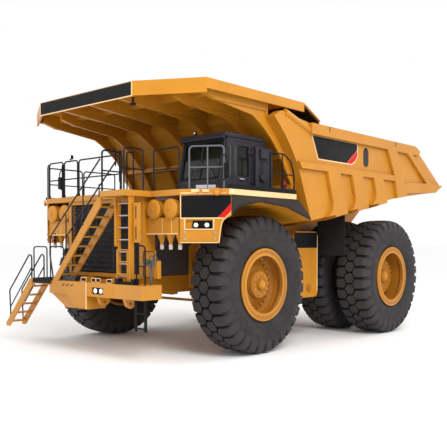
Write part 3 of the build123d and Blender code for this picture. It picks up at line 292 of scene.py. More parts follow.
glass, tree, shader, place = uneven("cab_glass", (1.4, 2), (0.005, 0.006, 0.006), (0.014, 0.016, 0.012),
                                    5, (0.03, 0.10))
shader.inputs["Alpha"].default_value = 0.88
shader.inputs["Specular IOR Level"].default_value = 0.2

lens, tree, shader, place = mottled("lamp_lens", (30, 2), (0.86, 0.87, 0.88), (0.97, 0.97, 0.97), 0.12)
ribs = tree.nodes.new("ShaderNodeTexWave")
ribs.inputs["Scale"].default_value = 26
tree.links.new(place, ribs.inputs["Vector"])
tree.links.new(relief(tree, ribs.outputs["Fac"], 0.002, 0.4), shader.inputs["Normal"])
shader.inputs["Emission Color"].default_value = (1, 1, 1, 1)
shader.inputs["Emission Strength"].default_value = 0.35

red_lens = mottled("tail_lens", (40, 2), (0.50, 0.010, 0.010), (0.68, 0.016, 0.014), 0.15)[0]
amber_lens = mottled("amber_lens", (40, 2), (0.72, 0.20, 0.01), (0.86, 0.28, 0.02), 0.15)[0]

seat_cloth, tree, shader, place = mottled("seat_cloth", (60, 3), (0.022, 0.022, 0.027), (0.052, 0.052, 0.060),
                                          0.9)
weave = tree.nodes.new("ShaderNodeTexChecker")
weave.inputs["Scale"].default_value = 240
tree.links.new(place, weave.inputs["Vector"])
tree.links.new(relief(tree, weave.outputs["Fac"], 0.001, 0.4), shader.inputs["Normal"])

# anti-slip deck: yellow edges and underside, black grit where people walk
deck_paint, tree, shader = finish_of("deck_paint")
place = place_of(tree)
facing = axes_of(tree, tree.nodes.new("ShaderNodeNewGeometry").outputs["Normal"])
walked = worked_out(tree, facing["Z"], 0.9, "GREATER_THAN")
grit_colour = ramp(tree, grain(tree, place, 90, 2), (0.4, (0.018, 0.018, 0.019)), (0.6, (0.050, 0.049, 0.048)))
deck_colour = blended(tree, walked, enamel_colour(tree, place, YELLOW), grit_colour)
tree.links.new(deck_colour, shader.inputs["Base Color"])
tree.links.new(spread(tree, walked, 0.4, 0.85, 0, 1), shader.inputs["Roughness"])
grit = worked_out(tree, grain(tree, place, 130, 2), walked, "MULTIPLY")
tree.links.new(relief(tree, grit, 0.004, 0.7), shader.inputs["Normal"])

# -------- finishes on the frame's nodes
finishes = {"yellow_paint": yellow_paint, "black_paint": black_paint, "cab_paint": cab_paint,
            "cab_plastic": cab_plastic, "grille_black": grille_black, "engine_iron": engine_iron,
            "rod_chrome": chrome, "black_rubber": flap_rubber, "tyre": rubber, "glass": glass,
            "seat_fabric": seat_cloth}
special = {"deck_rails_front": front_rail_paint, "deck": deck_paint, "front_bumper": bumper_paint,
           "diagonal_stair": diagonal_stair_paint, "swing_stair": swing_stair_paint,
           "front_ladder": yellow_paint}
for side, s in SIDES:
    special[f"fender_{side}"] = fender_paint_shaded_side
    special[f"front_rim_{side}"] = shaded_yellow_paint
    special[f"rear_rim_{side}"] = twin_rim_painted_shade
for entry in frame["record"]["subparts"]:
    node = frame["nodes"][entry["node"]]
    chosen = special.get(entry["node"], finishes[entry["material_slot"]])
    if not node.material_slots:
        node.data.materials.append(chosen)
    for slot in node.material_slots:
        slot.material = chosen

# the record's slot for each finish, by the finish's name
slot_of = {finish.name: slot for slot, finish in finishes.items()}
further = {"yellow_paint": (shaded_yellow_paint, weld_painted_shade, pale_highlight_paint), "black_paint": (red_paint, bottle_red),
           "rod_chrome": (bare_steel, fitting_grey), "cab_plastic": (olive_painted_reflection,), "tyre": (lit_tread_rubber,),
           "black_rubber": (pale_rubber,), "glass": (lens, red_lens, amber_lens)}
for slot, group in further.items():
    for finish in group:
        slot_of[finish.name] = slot


# -------- pieces in mesh code
def joined(meshes):
    """One mesh from several."""
    work = bmesh.new()
    for mesh in meshes:
        work.from_mesh(mesh)
    result = bpy.data.meshes.new("joined")
    work.to_mesh(result)
    work.free()
    return result


def piece(name, shape, finish, body="chassis"):
    """A mesh, or a list of them, becomes a piece that rides on a body."""
    mesh = joined(shape) if isinstance(shape, list) else shape
    mesh.name = name
    mesh.materials.clear()
    mesh.materials.append(finish)
    thing = bpy.data.objects.new(name, mesh)
    bpy.context.scene.collection.objects.link(thing)
    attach(thing, body)
    return thing


def mesh_of(work, smooth=0):
    """A mesh from a bmesh, with its faces turned outwards, smooth where they meet at less than an angle."""
    bmesh.ops.remove_doubles(work, verts=work.verts, dist=1e-5)
    bmesh.ops.recalc_face_normals(work, faces=work.faces)
    mesh = bpy.data.meshes.new("work")
    work.to_mesh(mesh)
    work.free()
    if smooth:
        for face in mesh.polygons:
            face.use_smooth = True
        mesh.set_sharp_from_angle(angle=math.radians(smooth))
    return mesh


def rectangle(y0, z0, y1, z1):
    """The outline of a rectangle."""
    return [(y0, z0), (y1, z0), (y1, z1), (y0, z1)]


def plate(corners, depth, bevel=0.004):
    """A flat plate from its outline's corners, with its thickness as a vector and a small bevel all round."""
    work = bmesh.new()
    front = [work.verts.new(c) for c in corners]
    back = [work.verts.new(Vector(c) + Vector(depth)) for c in corners]
    work.faces.new(front)
    work.faces.new(back[::-1])
    for i in range(len(front)):
        j = (i + 1) % len(front)
        work.faces.new((front[j], front[i], back[i], back[j]))
    bmesh.ops.bevel(work, geom=work.edges[:], offset=bevel, segments=2, profile=0.5, affect="EDGES")
    return mesh_of(work)


def case(low, high, bevel=0.012):
    """A box with rounded edges between two corners."""
    (x0, y0, z0), (x1, y1, z1) = low, high
    return plate([(x, y, z0) for x, y in rectangle(x0, y0, x1, y1)], (0, 0, z1 - z0), bevel)


def turned(profile, centre, axis, steps=32, smooth=40):
    """A turned piece from (distance along the axis, radius) points."""
    axis = Vector(axis).normalized()
    side = axis.orthogonal().normalized()
    work = bmesh.new()
    rings = []
    for i in range(steps):
        direction = Matrix.Rotation(2 * math.pi * i / steps, 3, axis) @ side
        rings.append([work.verts.new(Vector(centre) + axis * d + direction * r) for d, r in profile])
    for a, b in zip(rings, rings[1:] + rings[:1]):
        for k in range(len(profile)):
            m = (k + 1) % len(profile)
            corners = list(dict.fromkeys((a[k], b[k], b[m], a[m])))
            if profile[k][1] > 1e-6 or profile[m][1] > 1e-6:
                work.faces.new(corners)
    return mesh_of(work, smooth)


def knob(profile, centre, axis, steps=24):
    """A turned piece with a flat foot, whose last point lies on the axis or is closed by a flat end."""
    closed = [(profile[0][0], 0.0), *profile]
    if profile[-1][1]:
        closed.append((profile[-1][0], 0.0))
    return turned(closed, centre, axis, steps)


def pipe(points, radius, closed=False, bend=0.06, sides=4):
    """A bent tube along points, its corners rounded."""
    curve = bpy.data.curves.new("work", "CURVE")
    curve.dimensions = "3D"
    curve.bevel_depth = radius
    curve.bevel_resolution = sides
    curve.use_fill_caps = True
    line = [Vector(p) for p in points]
    path = []
    for i, p in enumerate(line):
        if not closed and i in (0, len(line) - 1):
            path.append(p)
            continue
        before, after = line[i - 1] - p, line[(i + 1) % len(line)] - p
        reach = min(bend, before.length / 2.2, after.length / 2.2)
        a, b = p + before.normalized() * reach, p + after.normalized() * reach
        path += [a, a.lerp(p, 0.5).lerp(p.lerp(b, 0.5), 0.5), b]
    spline = curve.splines.new("POLY")
    spline.points.add(len(path) - 1)
    for point, place in zip(spline.points, path):
        point.co = (*place, 1)
    spline.use_cyclic_u = closed
    thing = bpy.data.objects.new("work", curve)
    mesh = bpy.data.meshes.new_from_object(thing)
    bpy.data.objects.remove(thing)
    bpy.data.curves.remove(curve)
    for face in mesh.polygons:
        face.use_smooth = True
    return mesh


def ring_of(work, sides, radius, z):
    """The corners of a regular outline."""
    angles = [2 * math.pi * i / sides for i in range(sides)]
    return [work.verts.new((radius * math.cos(a), radius * math.sin(a), z)) for a in angles]


def hex_bolt(radius, height):
    """A bolt's head and washer that stands on its origin and points along +Z."""
    work = bmesh.new()
    washer_top = height * 0.2
    washer = [ring_of(work, 12, radius * 1.3, z) for z in (0, washer_top)]
    head = [ring_of(work, 6, r, z)
            for z, r in ((washer_top, radius), (height * 0.85, radius), (height, radius * 0.82))]
    for rings in (washer, head):
        work.faces.new(rings[-1])
        for low, high in zip(rings, rings[1:]):
            for i in range(len(low)):
                j = (i + 1) % len(low)
                work.faces.new((low[i], low[j], high[j], high[i]))
    mesh = bpy.data.meshes.new("bolt")
    work.to_mesh(mesh)
    work.free()
    return mesh


# -------- repeats
def repeating_tree():
    """Copies a piece in even steps along a line, in even turns about an axis, or both."""
    tree = bpy.data.node_groups.new("even_repeats", "GeometryNodeTree")
    for name, kind in (("Piece", "Geometry"), ("Count", "Int"), ("First place", "Vector"), ("Step", "Vector"),
                       ("Turn", "Vector"), ("Finish", "Material")):
        tree.interface.new_socket(name, in_out="INPUT", socket_type=f"NodeSocket{kind}")
    tree.interface.new_socket("Pieces", in_out="OUTPUT", socket_type="NodeSocketGeometry")
    given = tree.nodes.new("NodeGroupInput")
    line = tree.nodes.new("GeometryNodeMeshLine")
    line.mode = "OFFSET"
    tree.links.new(given.outputs["Count"], line.inputs["Count"])
    tree.links.new(given.outputs["First place"], line.inputs["Start Location"])
    tree.links.new(given.outputs["Step"], line.inputs["Offset"])
    turn = tree.nodes.new("ShaderNodeVectorMath")
    turn.operation = "SCALE"
    tree.links.new(given.outputs["Turn"], turn.inputs[0])
    tree.links.new(tree.nodes.new("GeometryNodeInputIndex").outputs[0], turn.inputs["Scale"])
    copies = tree.nodes.new("GeometryNodeInstanceOnPoints")
    tree.links.new(line.outputs["Mesh"], copies.inputs["Points"])
    tree.links.new(given.outputs["Piece"], copies.inputs["Instance"])
    tree.links.new(turn.outputs["Vector"], copies.inputs["Rotation"])
    real = tree.nodes.new("GeometryNodeRealizeInstances")
    tree.links.new(copies.outputs["Instances"], real.inputs["Geometry"])
    coat = tree.nodes.new("GeometryNodeSetMaterial")
    tree.links.new(real.outputs["Geometry"], coat.inputs["Geometry"])
    tree.links.new(given.outputs["Finish"], coat.inputs["Material"])
    result = tree.nodes.new("NodeGroupOutput")
    tree.links.new(coat.outputs["Geometry"], result.inputs["Pieces"])
    return tree


even_repeats = repeating_tree()


def repeated(mesh, count, first, finish, step=(0, 0, 0), turn=(0, 0, 0)):
    """The mesh of count copies, made by the tree and then applied."""
    thing = bpy.data.objects.new("work", mesh)
    bpy.context.scene.collection.objects.link(thing)
    modifier = thing.modifiers.new("repeats", "NODES")
    modifier.node_group = even_repeats
    items = even_repeats.interface.items_tree
    sockets = {item.name: item.identifier for item in items if item.in_out == "INPUT"}
    for name, value in (("Count", count), ("First place", tuple(first)), ("Step", tuple(step)),
                        ("Turn", tuple(turn)), ("Finish", finish)):
        modifier[sockets[name]] = value
    seen = thing.evaluated_get(bpy.context.evaluated_depsgraph_get())
    result = bpy.data.meshes.new_from_object(seen)
    bpy.data.objects.remove(thing)
    return result


def facing_y(mesh, sign):
    """Turns a bolt that points along +Z to point along +Y or -Y."""
    mesh.transform(Matrix.Rotation(-sign * math.pi / 2, 4, "X"))
    return mesh


def bolt_circle(bolt, radius, count, centre, finish):
    """A ring of bolts about an axis that runs across the truck."""
    first = bolt.copy()
    first.transform(Matrix.Translation((0, 0, radius)))
    return repeated(first, count, centre, finish, turn=(0, 2 * math.pi / count, 0))


# -------- tyres
LUG_PITCHES = 32
PITCH = 2 * math.pi / LUG_PITCHES
BLOCK_EDGE = 0.012
tread_radius = (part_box("front_tyre_left")[1].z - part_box("front_tyre_left")[0].z) / 2
# from the bead up to the tread's middle: (distance from the tyre's middle, radius)
carcass_half = [(0.424, 0.8905), (0.448, 0.925), (0.478, 0.985), (0.486, 0.992), (0.500, 1.040),
                (0.520, 1.120), (0.533, 1.220), (0.537, 1.300), (0.5375, 1.345), (0.5335, 1.352),
                (0.5335, 1.372), (0.537, 1.380), (0.528, 1.455), (0.514, 1.520), (0.500, 1.565),
                (0.478, 1.612), (0.445, 1.636), (0.380, 1.648), (0.200, 1.655)]


def carcass_base(y):
    """Radius just under the carcass, where a block starts."""
    points = [(0, carcass_half[-1][1])] + carcass_half[::-1]
    for (y0, r0), (y1, r1) in zip(points, points[1:]):
        if y0 <= abs(y) <= y1:
            return r0 + (r1 - r0) * (abs(y) - y0) / (y1 - y0) - BLOCK_EDGE


def block_mesh(stations):
    """A tread block from stations across the tread: (y, half its length round the tyre, top radius)."""
    work = bmesh.new()
    rows = []
    for y, half, top in stations:
        foot, shoulder = (half + BLOCK_EDGE, carcass_base(y)), (half, top - BLOCK_EDGE)
        rising = [foot, shoulder, (half * 0.94, top)]
        row = []
        for c, r in [(-c, r) for c, r in rising] + rising[::-1]:
            angle = c / tread_radius
            row.append(work.verts.new((r * math.sin(angle), y, r * math.cos(angle))))
        rows.append(row)
    for a, b in zip(rows, rows[1:]):
        for k in range(5):
            work.faces.new((a[k], a[k + 1], b[k + 1], b[k]))
    work.faces.new(rows[0])
    work.faces.new(rows[-1][::-1])
    return mesh_of(work)


hexagon_half = [(0.142, 0.030, 0.004), (0.078, 0.140, 0.002)]
hexagon = block_mesh([(-y, half, tread_radius - down) for y, half, down in hexagon_half]
                     + [(0, 0.150, tread_radius - 0.001)]
                     + [(y, half, tread_radius - down) for y, half, down in hexagon_half[::-1]])
lug_stations = [(0.122, 0.012, 1.773), (0.194, 0.136, 1.771), (0.290, 0.138, 1.765), (0.380, 0.132, 1.755),
                (0.440, 0.124, 1.740), (0.485, 0.114, 1.706), (0.514, 0.104, 1.650), (0.527, 0.095, 1.585),
                (0.531, 0.086, 1.525)]
lugs = [block_mesh([(s * y, half, top) for y, half, top in lug_stations]) for side, s in SIDES]
for lug in lugs:
    lug.transform(Matrix.Rotation(PITCH / 2, 4, "Y"))
one_pitch = joined([hexagon, *lugs])
carcass_profile = carcass_half + [(-y, r) for y, r in carcass_half[::-1]]

for side, s in SIDES:
    for kind, body in (("front_tyre", "front_wheel"), ("rear_inner_tyre", "rear_wheel"),
                       ("rear_outer_tyre", "rear_wheel")):
        node = f"{kind}_{side}"
        carcass = turned(carcass_profile, middle_of(node), LEFT, 96, 50)
        tread = repeated(one_pitch, LUG_PITCHES, middle_of(node), lit_tread_rubber, turn=(0, PITCH, 0))
        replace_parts(piece(f"{node}_carcass", carcass, rubber, f"{body}_{side}"), node)
        piece(f"{node}_tread", tread, lit_tread_rubber, f"{body}_{side}")

# -------- rims, hubs, wheel nuts and valves
RIM_FACE = 0.500
rim_edge = [(-0.012, 0.890), (0.004, 0.884), (0.010, 0.900), (0.004, 0.922), (-0.012, 0.926)]
rim_bead = [(-0.050, 0.800), (-0.045, 0.748), (0.004, 0.738), (0.012, 0.750), (0.008, 0.775), (0.000, 0.802)]
# hub face and rings of nuts are given by their distance outboard of the outer tyre's middle:
# (body, axle, hub face, hub radius, rings of nuts as (radius, count, place))
wheels = (("front_wheel", front_axle, 0.400, 0.115, ((0.610, 24, 0.112), (0.255, 12, 0.330))),
          ("rear_wheel", rear_axle, 0.250, 0.140, ((0.500, 20, 0.158), (0.245, 12, 0.158))))


def wheel_fittings(body, s, axle, hub_face, hub, nut_rings):
    """A wheel's nuts, the rim's edge and bead, the hub's cap and the tyre's valve."""
    def on_wheel(outboard, up=0.0):
        return Vector((axle.x, s * (axle.y + outboard), axle.z + up))

    across = (0, s, 0)
    nut = facing_y(hex_bolt(0.030, 0.035), s)
    nuts = [bolt_circle(nut, radius, count, on_wheel(out), yellow_paint) for radius, count, out in nut_rings]
    piece(f"wheel_nuts_{body}", nuts, yellow_paint, body)
    piece(f"rim_edge_{body}", turned(rim_edge, on_wheel(RIM_FACE), across, 64), yellow_paint, body)
    piece(f"rim_bead_{body}", turned(rim_bead, on_wheel(RIM_FACE), across, 64), yellow_paint, body)
    cap = [(-0.004, hub), (0.022, hub * 0.96), (0.030, hub * 0.70), (0.050, hub * 0.62), (0.056, hub * 0.40)]
    piece(f"hub_cap_{body}", knob(cap, on_wheel(hub_face), across, 32), yellow_paint, body)
    stem = [on_wheel(RIM_FACE - 0.09, 0.70), on_wheel(RIM_FACE - 0.03, 0.69), on_wheel(RIM_FACE - 0.015, 0.62)]
    piece(f"tyre_valve_{body}", pipe(stem, 0.010, bend=0.03), flap_rubber, body)


for side, s in SIDES:
    for kind, *sizes in wheels:
        wheel_fittings(f"{kind}_{side}", s, *sizes)

# -------- signs on the bed's sides
BED_SIDE_Y = 3.500


def on_bed(s, ahead, z, out=0.0):
    """A place on the bed's side panel, raised by out."""
    return at(ahead, s * (BED_SIDE_Y + out), z)


def bed_plate(s, outline, low, high, bevel=0.003):
    """A plate on the bed's side between two heights above its panel."""
    return plate([on_bed(s, x, z, low) for x, z in outline], (0, s * (high - low), 0), bevel)


def stadium(ahead, z_low, z_high, half, steps=10):
    """An upright outline with round ends."""
    points = []
    for centre, first in ((z_high - half, 0), (z_low + half, math.pi)):
        for i in range(steps + 1):
            angle = first + math.pi * i / steps
            points.append((ahead + half * math.cos(angle), centre + half * math.sin(angle)))
    return points


sign_black = [(4.11, 5.755), (1.78, 5.755), (1.78, 5.58), (2.37, 5.155), (3.81, 5.155)]
sign_red = [(1.78, 5.57), (1.76, 5.46), (1.79, 5.37), (1.90, 5.25), (2.09, 5.155), (2.36, 5.155)]
sign_edge = [(4.15, 5.765), (1.745, 5.765), (1.725, 5.45), (1.765, 5.34), (1.88, 5.22), (2.08, 5.12),
             (3.84, 5.12)]
# weld seams low on the panels, each (x0, z0, x1, z1)
SEAM = 0.022
bed_seams = [(4.02, 3.80, 3.08, 3.98), (4.00, 3.72, 3.05, 3.90), (2.36, 4.13, 1.85, 4.23),
             (1.18, 4.36, 0.62, 4.47)]
for side, s in SIDES:
    piece(f"bed_sign_edge_{side}", bed_plate(s, sign_edge, -0.002, 0.006), pale_highlight_paint, "bed")
    piece(f"bed_sign_{side}", bed_plate(s, sign_black, 0, 0.010), black_paint, "bed")
    piece(f"bed_sign_corner_{side}", bed_plate(s, sign_red, 0, 0.010), red_paint, "bed")
    oval = [bed_plate(s, stadium(1.255, 5.13, 5.71, 0.145), -0.002, 0.008),
            bed_plate(s, stadium(1.255, 5.16, 5.68, 0.115), 0.006, 0.014)]
    piece(f"bed_oval_plate_{side}", oval, grille_black, "bed")
    seams = [bed_plate(s, [(x0, z0), (x1, z1), (x1, z1 + SEAM), (x0, z0 + SEAM)], -0.002, 0.006, 0.002)
             for x0, z0, x1, z1 in bed_seams]
    piece(f"bed_seams_{side}", seams, yellow_paint, "bed")
    rail_y = s * 3.603
    rail_joints = [case(at(x - 0.015, rail_y - 0.004, 5.92), at(x + 0.015, rail_y + 0.004, 6.05), 0.002)
                   for x in (3.40, -0.45)]
    piece(f"bed_rail_joints_{side}", rail_joints, black_paint, "bed")

# -------- weld beads on the bed's sides, painted darker as shade in the creases
BAND_LOW, BAND_HIGH, RAIL_LOW = 4.820, 4.990, 5.780
RIB_RAKE = 0.33
KNEE = 0.42
FLOOR_EDGE_FRONT = Vector((4.150, 0, 3.440))
FLOOR_CLIMB = 0.17615
# the front top corner of each rib, and its length at the top
rib_ends = [(3.470, 0.640), (2.190, 0.620), (0.910, 0.570)]


def floor_edge(ahead):
    """Height of the bed floor's edge, which climbs towards the rear."""
    return FLOOR_EDGE_FRONT.z + (FLOOR_EDGE_FRONT.x - ahead) * FLOOR_CLIMB


def rib_welds():
    """The beads below the band: along it between the ribs, and down each rib's two edges."""
    beads = []
    bay_front = 4.70
    for x, length in rib_ends:
        foot = x - RIB_RAKE * (BAND_LOW - floor_edge(x))
        knee = floor_edge(foot) + KNEE
        beads += [((bay_front, BAND_LOW), (x + 0.004, BAND_LOW)),
                  ((x + 0.004, BAND_LOW), (x - RIB_RAKE * (BAND_LOW - knee) + 0.004, knee)),
                  ((x - length - 0.004, BAND_LOW), (foot - length - 0.004, floor_edge(foot - length)))]
        bay_front = x - length
    return beads + [((bay_front, BAND_LOW), (-0.40, BAND_LOW))]


bed_welds = [((4.22, RAIL_LOW), (-2.05, RAIL_LOW)), ((4.79, BAND_HIGH), (-0.43, BAND_HIGH)),
             ((-1.315, 5.77), (-2.76, 4.88)), ((-0.56, 5.77), (-0.99, 4.99)), ((0.045, 5.77), (-0.425, 4.99))]
bed_welds += rib_welds()
for side, s in SIDES:
    beads = [pipe([on_bed(s, *a, 0.002), on_bed(s, *b, 0.002)], 0.013, sides=6) for a, b in bed_welds]
    piece(f"bed_welds_{side}", beads, weld_painted_shade, "bed")

# -------- canopy
piece("canopy_panel", case(at(9.088, -1.86, 6.275), at(9.102, 1.86, 6.580), 0.004), black_paint, "bed")
canopy_edges = [case(at(9.080, -1.89, 6.245), at(9.106, 1.89, 6.272), 0.004),
                case(at(9.080, -1.885, 6.262), at(9.104, -1.862, 6.600), 0.004),
                case(at(9.080, 1.862, 6.262), at(9.104, 1.885, 6.600), 0.004)]
piece("canopy_panel_edge", canopy_edges, pale_highlight_paint, "bed")
canopy_lamp = [case(at(8.98, 1.80, 6.10), at(9.03, 1.84, 6.245), 0.006),
               case(at(8.95, 1.77, 6.06), at(9.06, 1.87, 6.12), 0.012)]
piece("canopy_lamp", canopy_lamp, black_paint, "bed")
# slats under the sloping spill guard, in black paint: painted shade for steel that lies in the guard's shadow
guard_low, guard_high = Vector((3.64, 0, 6.165)), Vector((4.36, 0, 6.520))
guard_rise = guard_high - guard_low
slat = case((-0.030, -3.40, -0.030), (0.030, 3.40, 0.012), 0.004)
slat.transform(Matrix.Rotation(-math.atan2(guard_rise.z, guard_rise.x), 4, "Y"))
slats = repeated(slat, 8, at(*guard_low), black_paint, step=guard_rise / 7)
piece("spill_guard_slats", slats, black_paint, "bed")

# -------- swept faces
# how far back the fenders' fronts and the deck's corners run for each metre outboard
FENDER, DECK_CORNER = 0.690, 0.612


def outward(sweep, s):
    """The direction that a swept face looks in."""
    return Vector((1, s * sweep, 0)).normalized()


def on_swept(sweep, s, y, z, out=0.0):
    """A place on a swept face, raised by out."""
    return at(8.350 - sweep * (y - 2.700), s * y, z) + out * outward(sweep, s)


def swept_plate(sweep, s, outline, low, high, bevel=0.003):
    """A plate on a swept face between two heights above it."""
    return plate([on_swept(sweep, s, y, z, low) for y, z in outline], outward(sweep, s) * (high - low), bevel)


def swept_bolt(s, y, z):
    """A bolt on the fender's front."""
    bolt = hex_bolt(0.022, 0.020)
    bolt.transform(Vector(UP).rotation_difference(outward(FENDER, s)).to_matrix().to_4x4())
    bolt.transform(Matrix.Translation(on_swept(FENDER, s, y, z, 0.006)))
    return bolt


# -------- fender fronts
panel_black = [(2.730, 3.945), (3.690, 3.945), (3.690, 3.715), (3.425, 3.437), (2.730, 3.437)]
panel_red = [(3.693, 3.770), (3.693, 3.600), (3.570, 3.425), (3.430, 3.425)]
arch_lip = [(3.456, 2.850), (3.480, 3.10), (3.505, 3.28), (3.545, 3.390), (3.60, 3.455), (3.685, 3.535)]
# strips of painted highlight, each (y0, z0, y1, z1, how far it stands out)
strips = [(2.705, 3.402, 3.545, 3.432, 0.014), (2.705, 3.432, 2.725, 3.950, 0.012),
          (2.780, 3.172, 2.806, 3.402, 0.012), (3.342, 3.172, 3.368, 3.402, 0.012),
          (2.780, 3.148, 3.368, 3.174, 0.012), (2.705, 2.842, 3.445, 2.864, 0.012)]
bezel_profile = [(0, 0.086), (0.040, 0.088), (0.046, 0.082), (0.040, 0.062), (0.012, 0.052), (0, 0.052)]
headlamp_profile = [(0.006, 0.054), (0.024, 0.050), (0.034, 0.032), (0.038, 0.0)]
for side, s in SIDES:
    piece(f"fender_panel_{side}", swept_plate(FENDER, s, panel_black, -0.002, 0.010), black_paint)
    piece(f"fender_panel_corner_{side}", swept_plate(FENDER, s, panel_red, -0.002, 0.011), red_paint)
    edges = [swept_plate(FENDER, s, rectangle(*corners), -0.002, out) for *corners, out in strips]
    edges.append(pipe([on_swept(FENDER, s, y, z, 0.004) for y, z in arch_lip], 0.012))
    piece(f"fender_edges_{side}", edges, pale_highlight_paint)
    lower_panel = swept_plate(FENDER, s, rectangle(2.720, 2.880, 3.330, 3.130), -0.002, 0.008, 0.004)
    piece(f"fender_lower_panel_{side}", lower_panel, yellow_paint)
    housing = swept_plate(FENDER, s, rectangle(2.950, 3.180, 3.336, 3.366), -0.058, -0.030, 0.006)
    piece(f"headlamp_housing_{side}", housing, black_paint)
    centres = [on_swept(FENDER, s, y, 3.262, -0.040) for y in (3.010, 3.222)]
    bezels = [turned(bezel_profile, centre, outward(FENDER, s)) for centre in centres]
    piece(f"headlamp_bezels_{side}", bezels, black_paint)
    headlamps = [knob(headlamp_profile, centre, outward(FENDER, s), 32) for centre in centres]
    piece(f"headlamps_{side}", headlamps, lens)
    bolts = [swept_bolt(s, y, z) for y, z in ((2.80, 2.935), (3.385, 2.935), (3.385, 3.08), (2.80, 3.09))]
    piece(f"fender_bolts_{side}", bolts, bare_steel)

# -------- deck edge
marker_profile = [(0, 0.085), (0.020, 0.092), (0.060, 0.088), (0.070, 0.070), (0.052, 0.060), (0.046, 0.0)]
arch_edge = [(7.60, 3.545), (7.40, 3.690), (7.15, 3.745), (6.64, 3.842), (6.10, 3.800), (5.54, 3.752),
             (5.10, 3.640), (4.55, 3.480)]


def corner_plate(s, corners, low, high, bevel=0.004):
    """A plate on the deck's swept corner edge."""
    return swept_plate(DECK_CORNER, s, rectangle(*corners), low, high, bevel)


def along_deck(s, x0, x1, y, half, z0, z1):
    """A strip along the deck's side edge."""
    return case(at(x0, s * y - half, z0), at(x1, s * y + half, z1), 0.004)


for side, s in SIDES:
    corner_edge = [corner_plate(s, (2.72, 3.985, 3.05, 4.020), -0.002, 0.014),
                   corner_plate(s, (3.05, 3.985, 3.64, 4.000), -0.002, 0.012)]
    piece(f"deck_corner_edge_{side}", corner_edge, pale_highlight_paint)
    corner_boxes = [corner_plate(s, (2.94, 4.02, 3.10, 4.09), -0.004, 0.060, 0.008),
                    corner_plate(s, (3.16, 4.02, 3.30, 4.08), -0.004, 0.045, 0.008)]
    piece(f"deck_corner_boxes_{side}", corner_boxes, pale_highlight_paint)
    marker_axis = outward(DECK_CORNER, s)
    marker = knob(marker_profile, on_swept(DECK_CORNER, s, 3.46, 4.025, -0.002), marker_axis, 28)
    piece(f"corner_marker_housing_{side}", marker, yellow_paint)
    marker_lens = knob([(0, 0.058), (0.012, 0.050), (0.018, 0.0)], on_swept(DECK_CORNER, s, 3.46, 4.025, 0.045),
                       marker_axis)
    piece(f"corner_marker_lens_{side}", marker_lens, amber_lens)
    piece(f"corner_toe_plate_{side}", corner_plate(s, (3.02, 4.10, 3.42, 4.19), -0.050, -0.036), bare_steel)
    side_lamp = knob([(0, 0.038), (0.018, 0.036), (0.026, 0.0)], at(7.62, s * 3.678, 4.035), (0, s, 0), 20)
    piece(f"deck_side_lamp_{side}", side_lamp, lens)
    piece(f"toe_board_cap_{side}", along_deck(s, 5.095, 7.755, 3.6755, 0.0135, 4.102, 4.206), black_paint)
    piece(f"deck_side_strip_{side}", along_deck(s, 5.105, 7.735, 3.6885, 0.0095, 3.966, 4.096), pale_highlight_paint)
    # A black rubber pipe along the fender's side arch: a dark strip of painted shade where the arch's edge
    # leaves a shadow gap.
    arch_line = [at(x, s * 3.700, z + 0.012) for x, z in arch_edge]
    piece(f"arch_shadow_line_{side}", pipe(arch_line, 0.016, bend=0.20), flap_rubber)

# -------- bumper
piece("fog_lamp_housing", case(at(9.142, 0.470, 1.590), at(9.168, 0.900, 1.742), 0.006), black_paint)
fog_profile = [(0, 0.062), (0.020, 0.060), (0.030, 0.035), (0.033, 0.0)]
piece("fog_lamps", [knob(fog_profile, at(9.160, y, 1.666), AHEAD, 32) for y in (0.575, 0.795)], lens)
dash_outline = [(0, 1.735), (0.055, 1.735), (0.145, 1.790), (0.090, 1.790)]
dashes = [plate([at(9.199, first + y, z) for y, z in dash_outline], (0.004, 0, 0), 0.001)
          for first in (-0.80, -0.62, -0.44)]
piece("bumper_dashes", dashes, black_paint)
frames = []
backs = []
for y0, y1, top in ((-1.12, -0.90, 1.985), (-0.16, 0.06, 1.965), (0.27, 0.44, 1.965), (0.46, 0.63, 1.965),
                    (0.88, 1.08, 1.955)):
    frame_line = [at(9.060, y, z) for y, z in rectangle(y0, 1.868, y1, top)]
    frames.append(pipe(frame_line, 0.011, closed=True, bend=0.02))
    backs.append(case(at(9.040, y0, 1.862), at(9.058, y1, top), 0.004))
piece("bumper_frames", frames, pale_highlight_paint)
piece("bumper_frame_backs", backs, black_paint)
piece("bumper_panels", [case(at(9.196, y0, 1.555), at(9.206, y1, 1.800), 0.004)
                        for y0, y1 in ((0.285, 0.445), (0.925, 1.330))], yellow_paint)
piece("bumper_edge", case(at(9.196, 0.225, 1.190), at(9.212, 0.255, 1.860), 0.004), pale_highlight_paint)

# -------- ladders at the front
ladder_sides = [case(at(8.845, 1.085, 2.760), at(8.990, 1.135, 3.985), 0.008),
                case(at(8.845, 1.605, 1.900), at(8.990, 1.655, 3.985), 0.008),
                case(at(8.845, 1.690, 2.850), at(8.905, 1.900, 3.800), 0.008)]
piece("ladder_sides", ladder_sides, yellow_paint)
column_slots = [case(at(8.903, 1.775, z), at(8.909, 1.805, z + 0.30), 0.002) for z in (2.93, 3.42)]
piece("ladder_column_slots", column_slots, black_paint)
rung = case((8.900, 1.165, -0.011), (8.950, 1.575, 0.011), 0.004)
piece("ladder_rungs", repeated(rung, 7, at(0, 0, 2.05), bare_steel, step=(0, 0, 0.290)), bare_steel)
folding_ladder = [pipe([at(8.975, y, 1.90), at(8.975, y, 2.68)], 0.020) for y in (1.18, 1.56)]
folding_ladder += [pipe([at(8.975, 1.18, z), at(8.975, 1.56, z)], 0.014) for z in (2.10, 2.39, 2.68)]
piece("folding_ladder", folding_ladder, yellow_paint)
ladder_feet = [case(at(9.00, y, 1.855), at(9.16, y + 0.13, 2.00), 0.015) for y in (1.30, 1.88)]
ladder_feet.append(case(at(8.99, 1.43, 1.855), at(9.14, 1.88, 1.93), 0.010))
piece("ladder_feet", ladder_feet, black_paint)
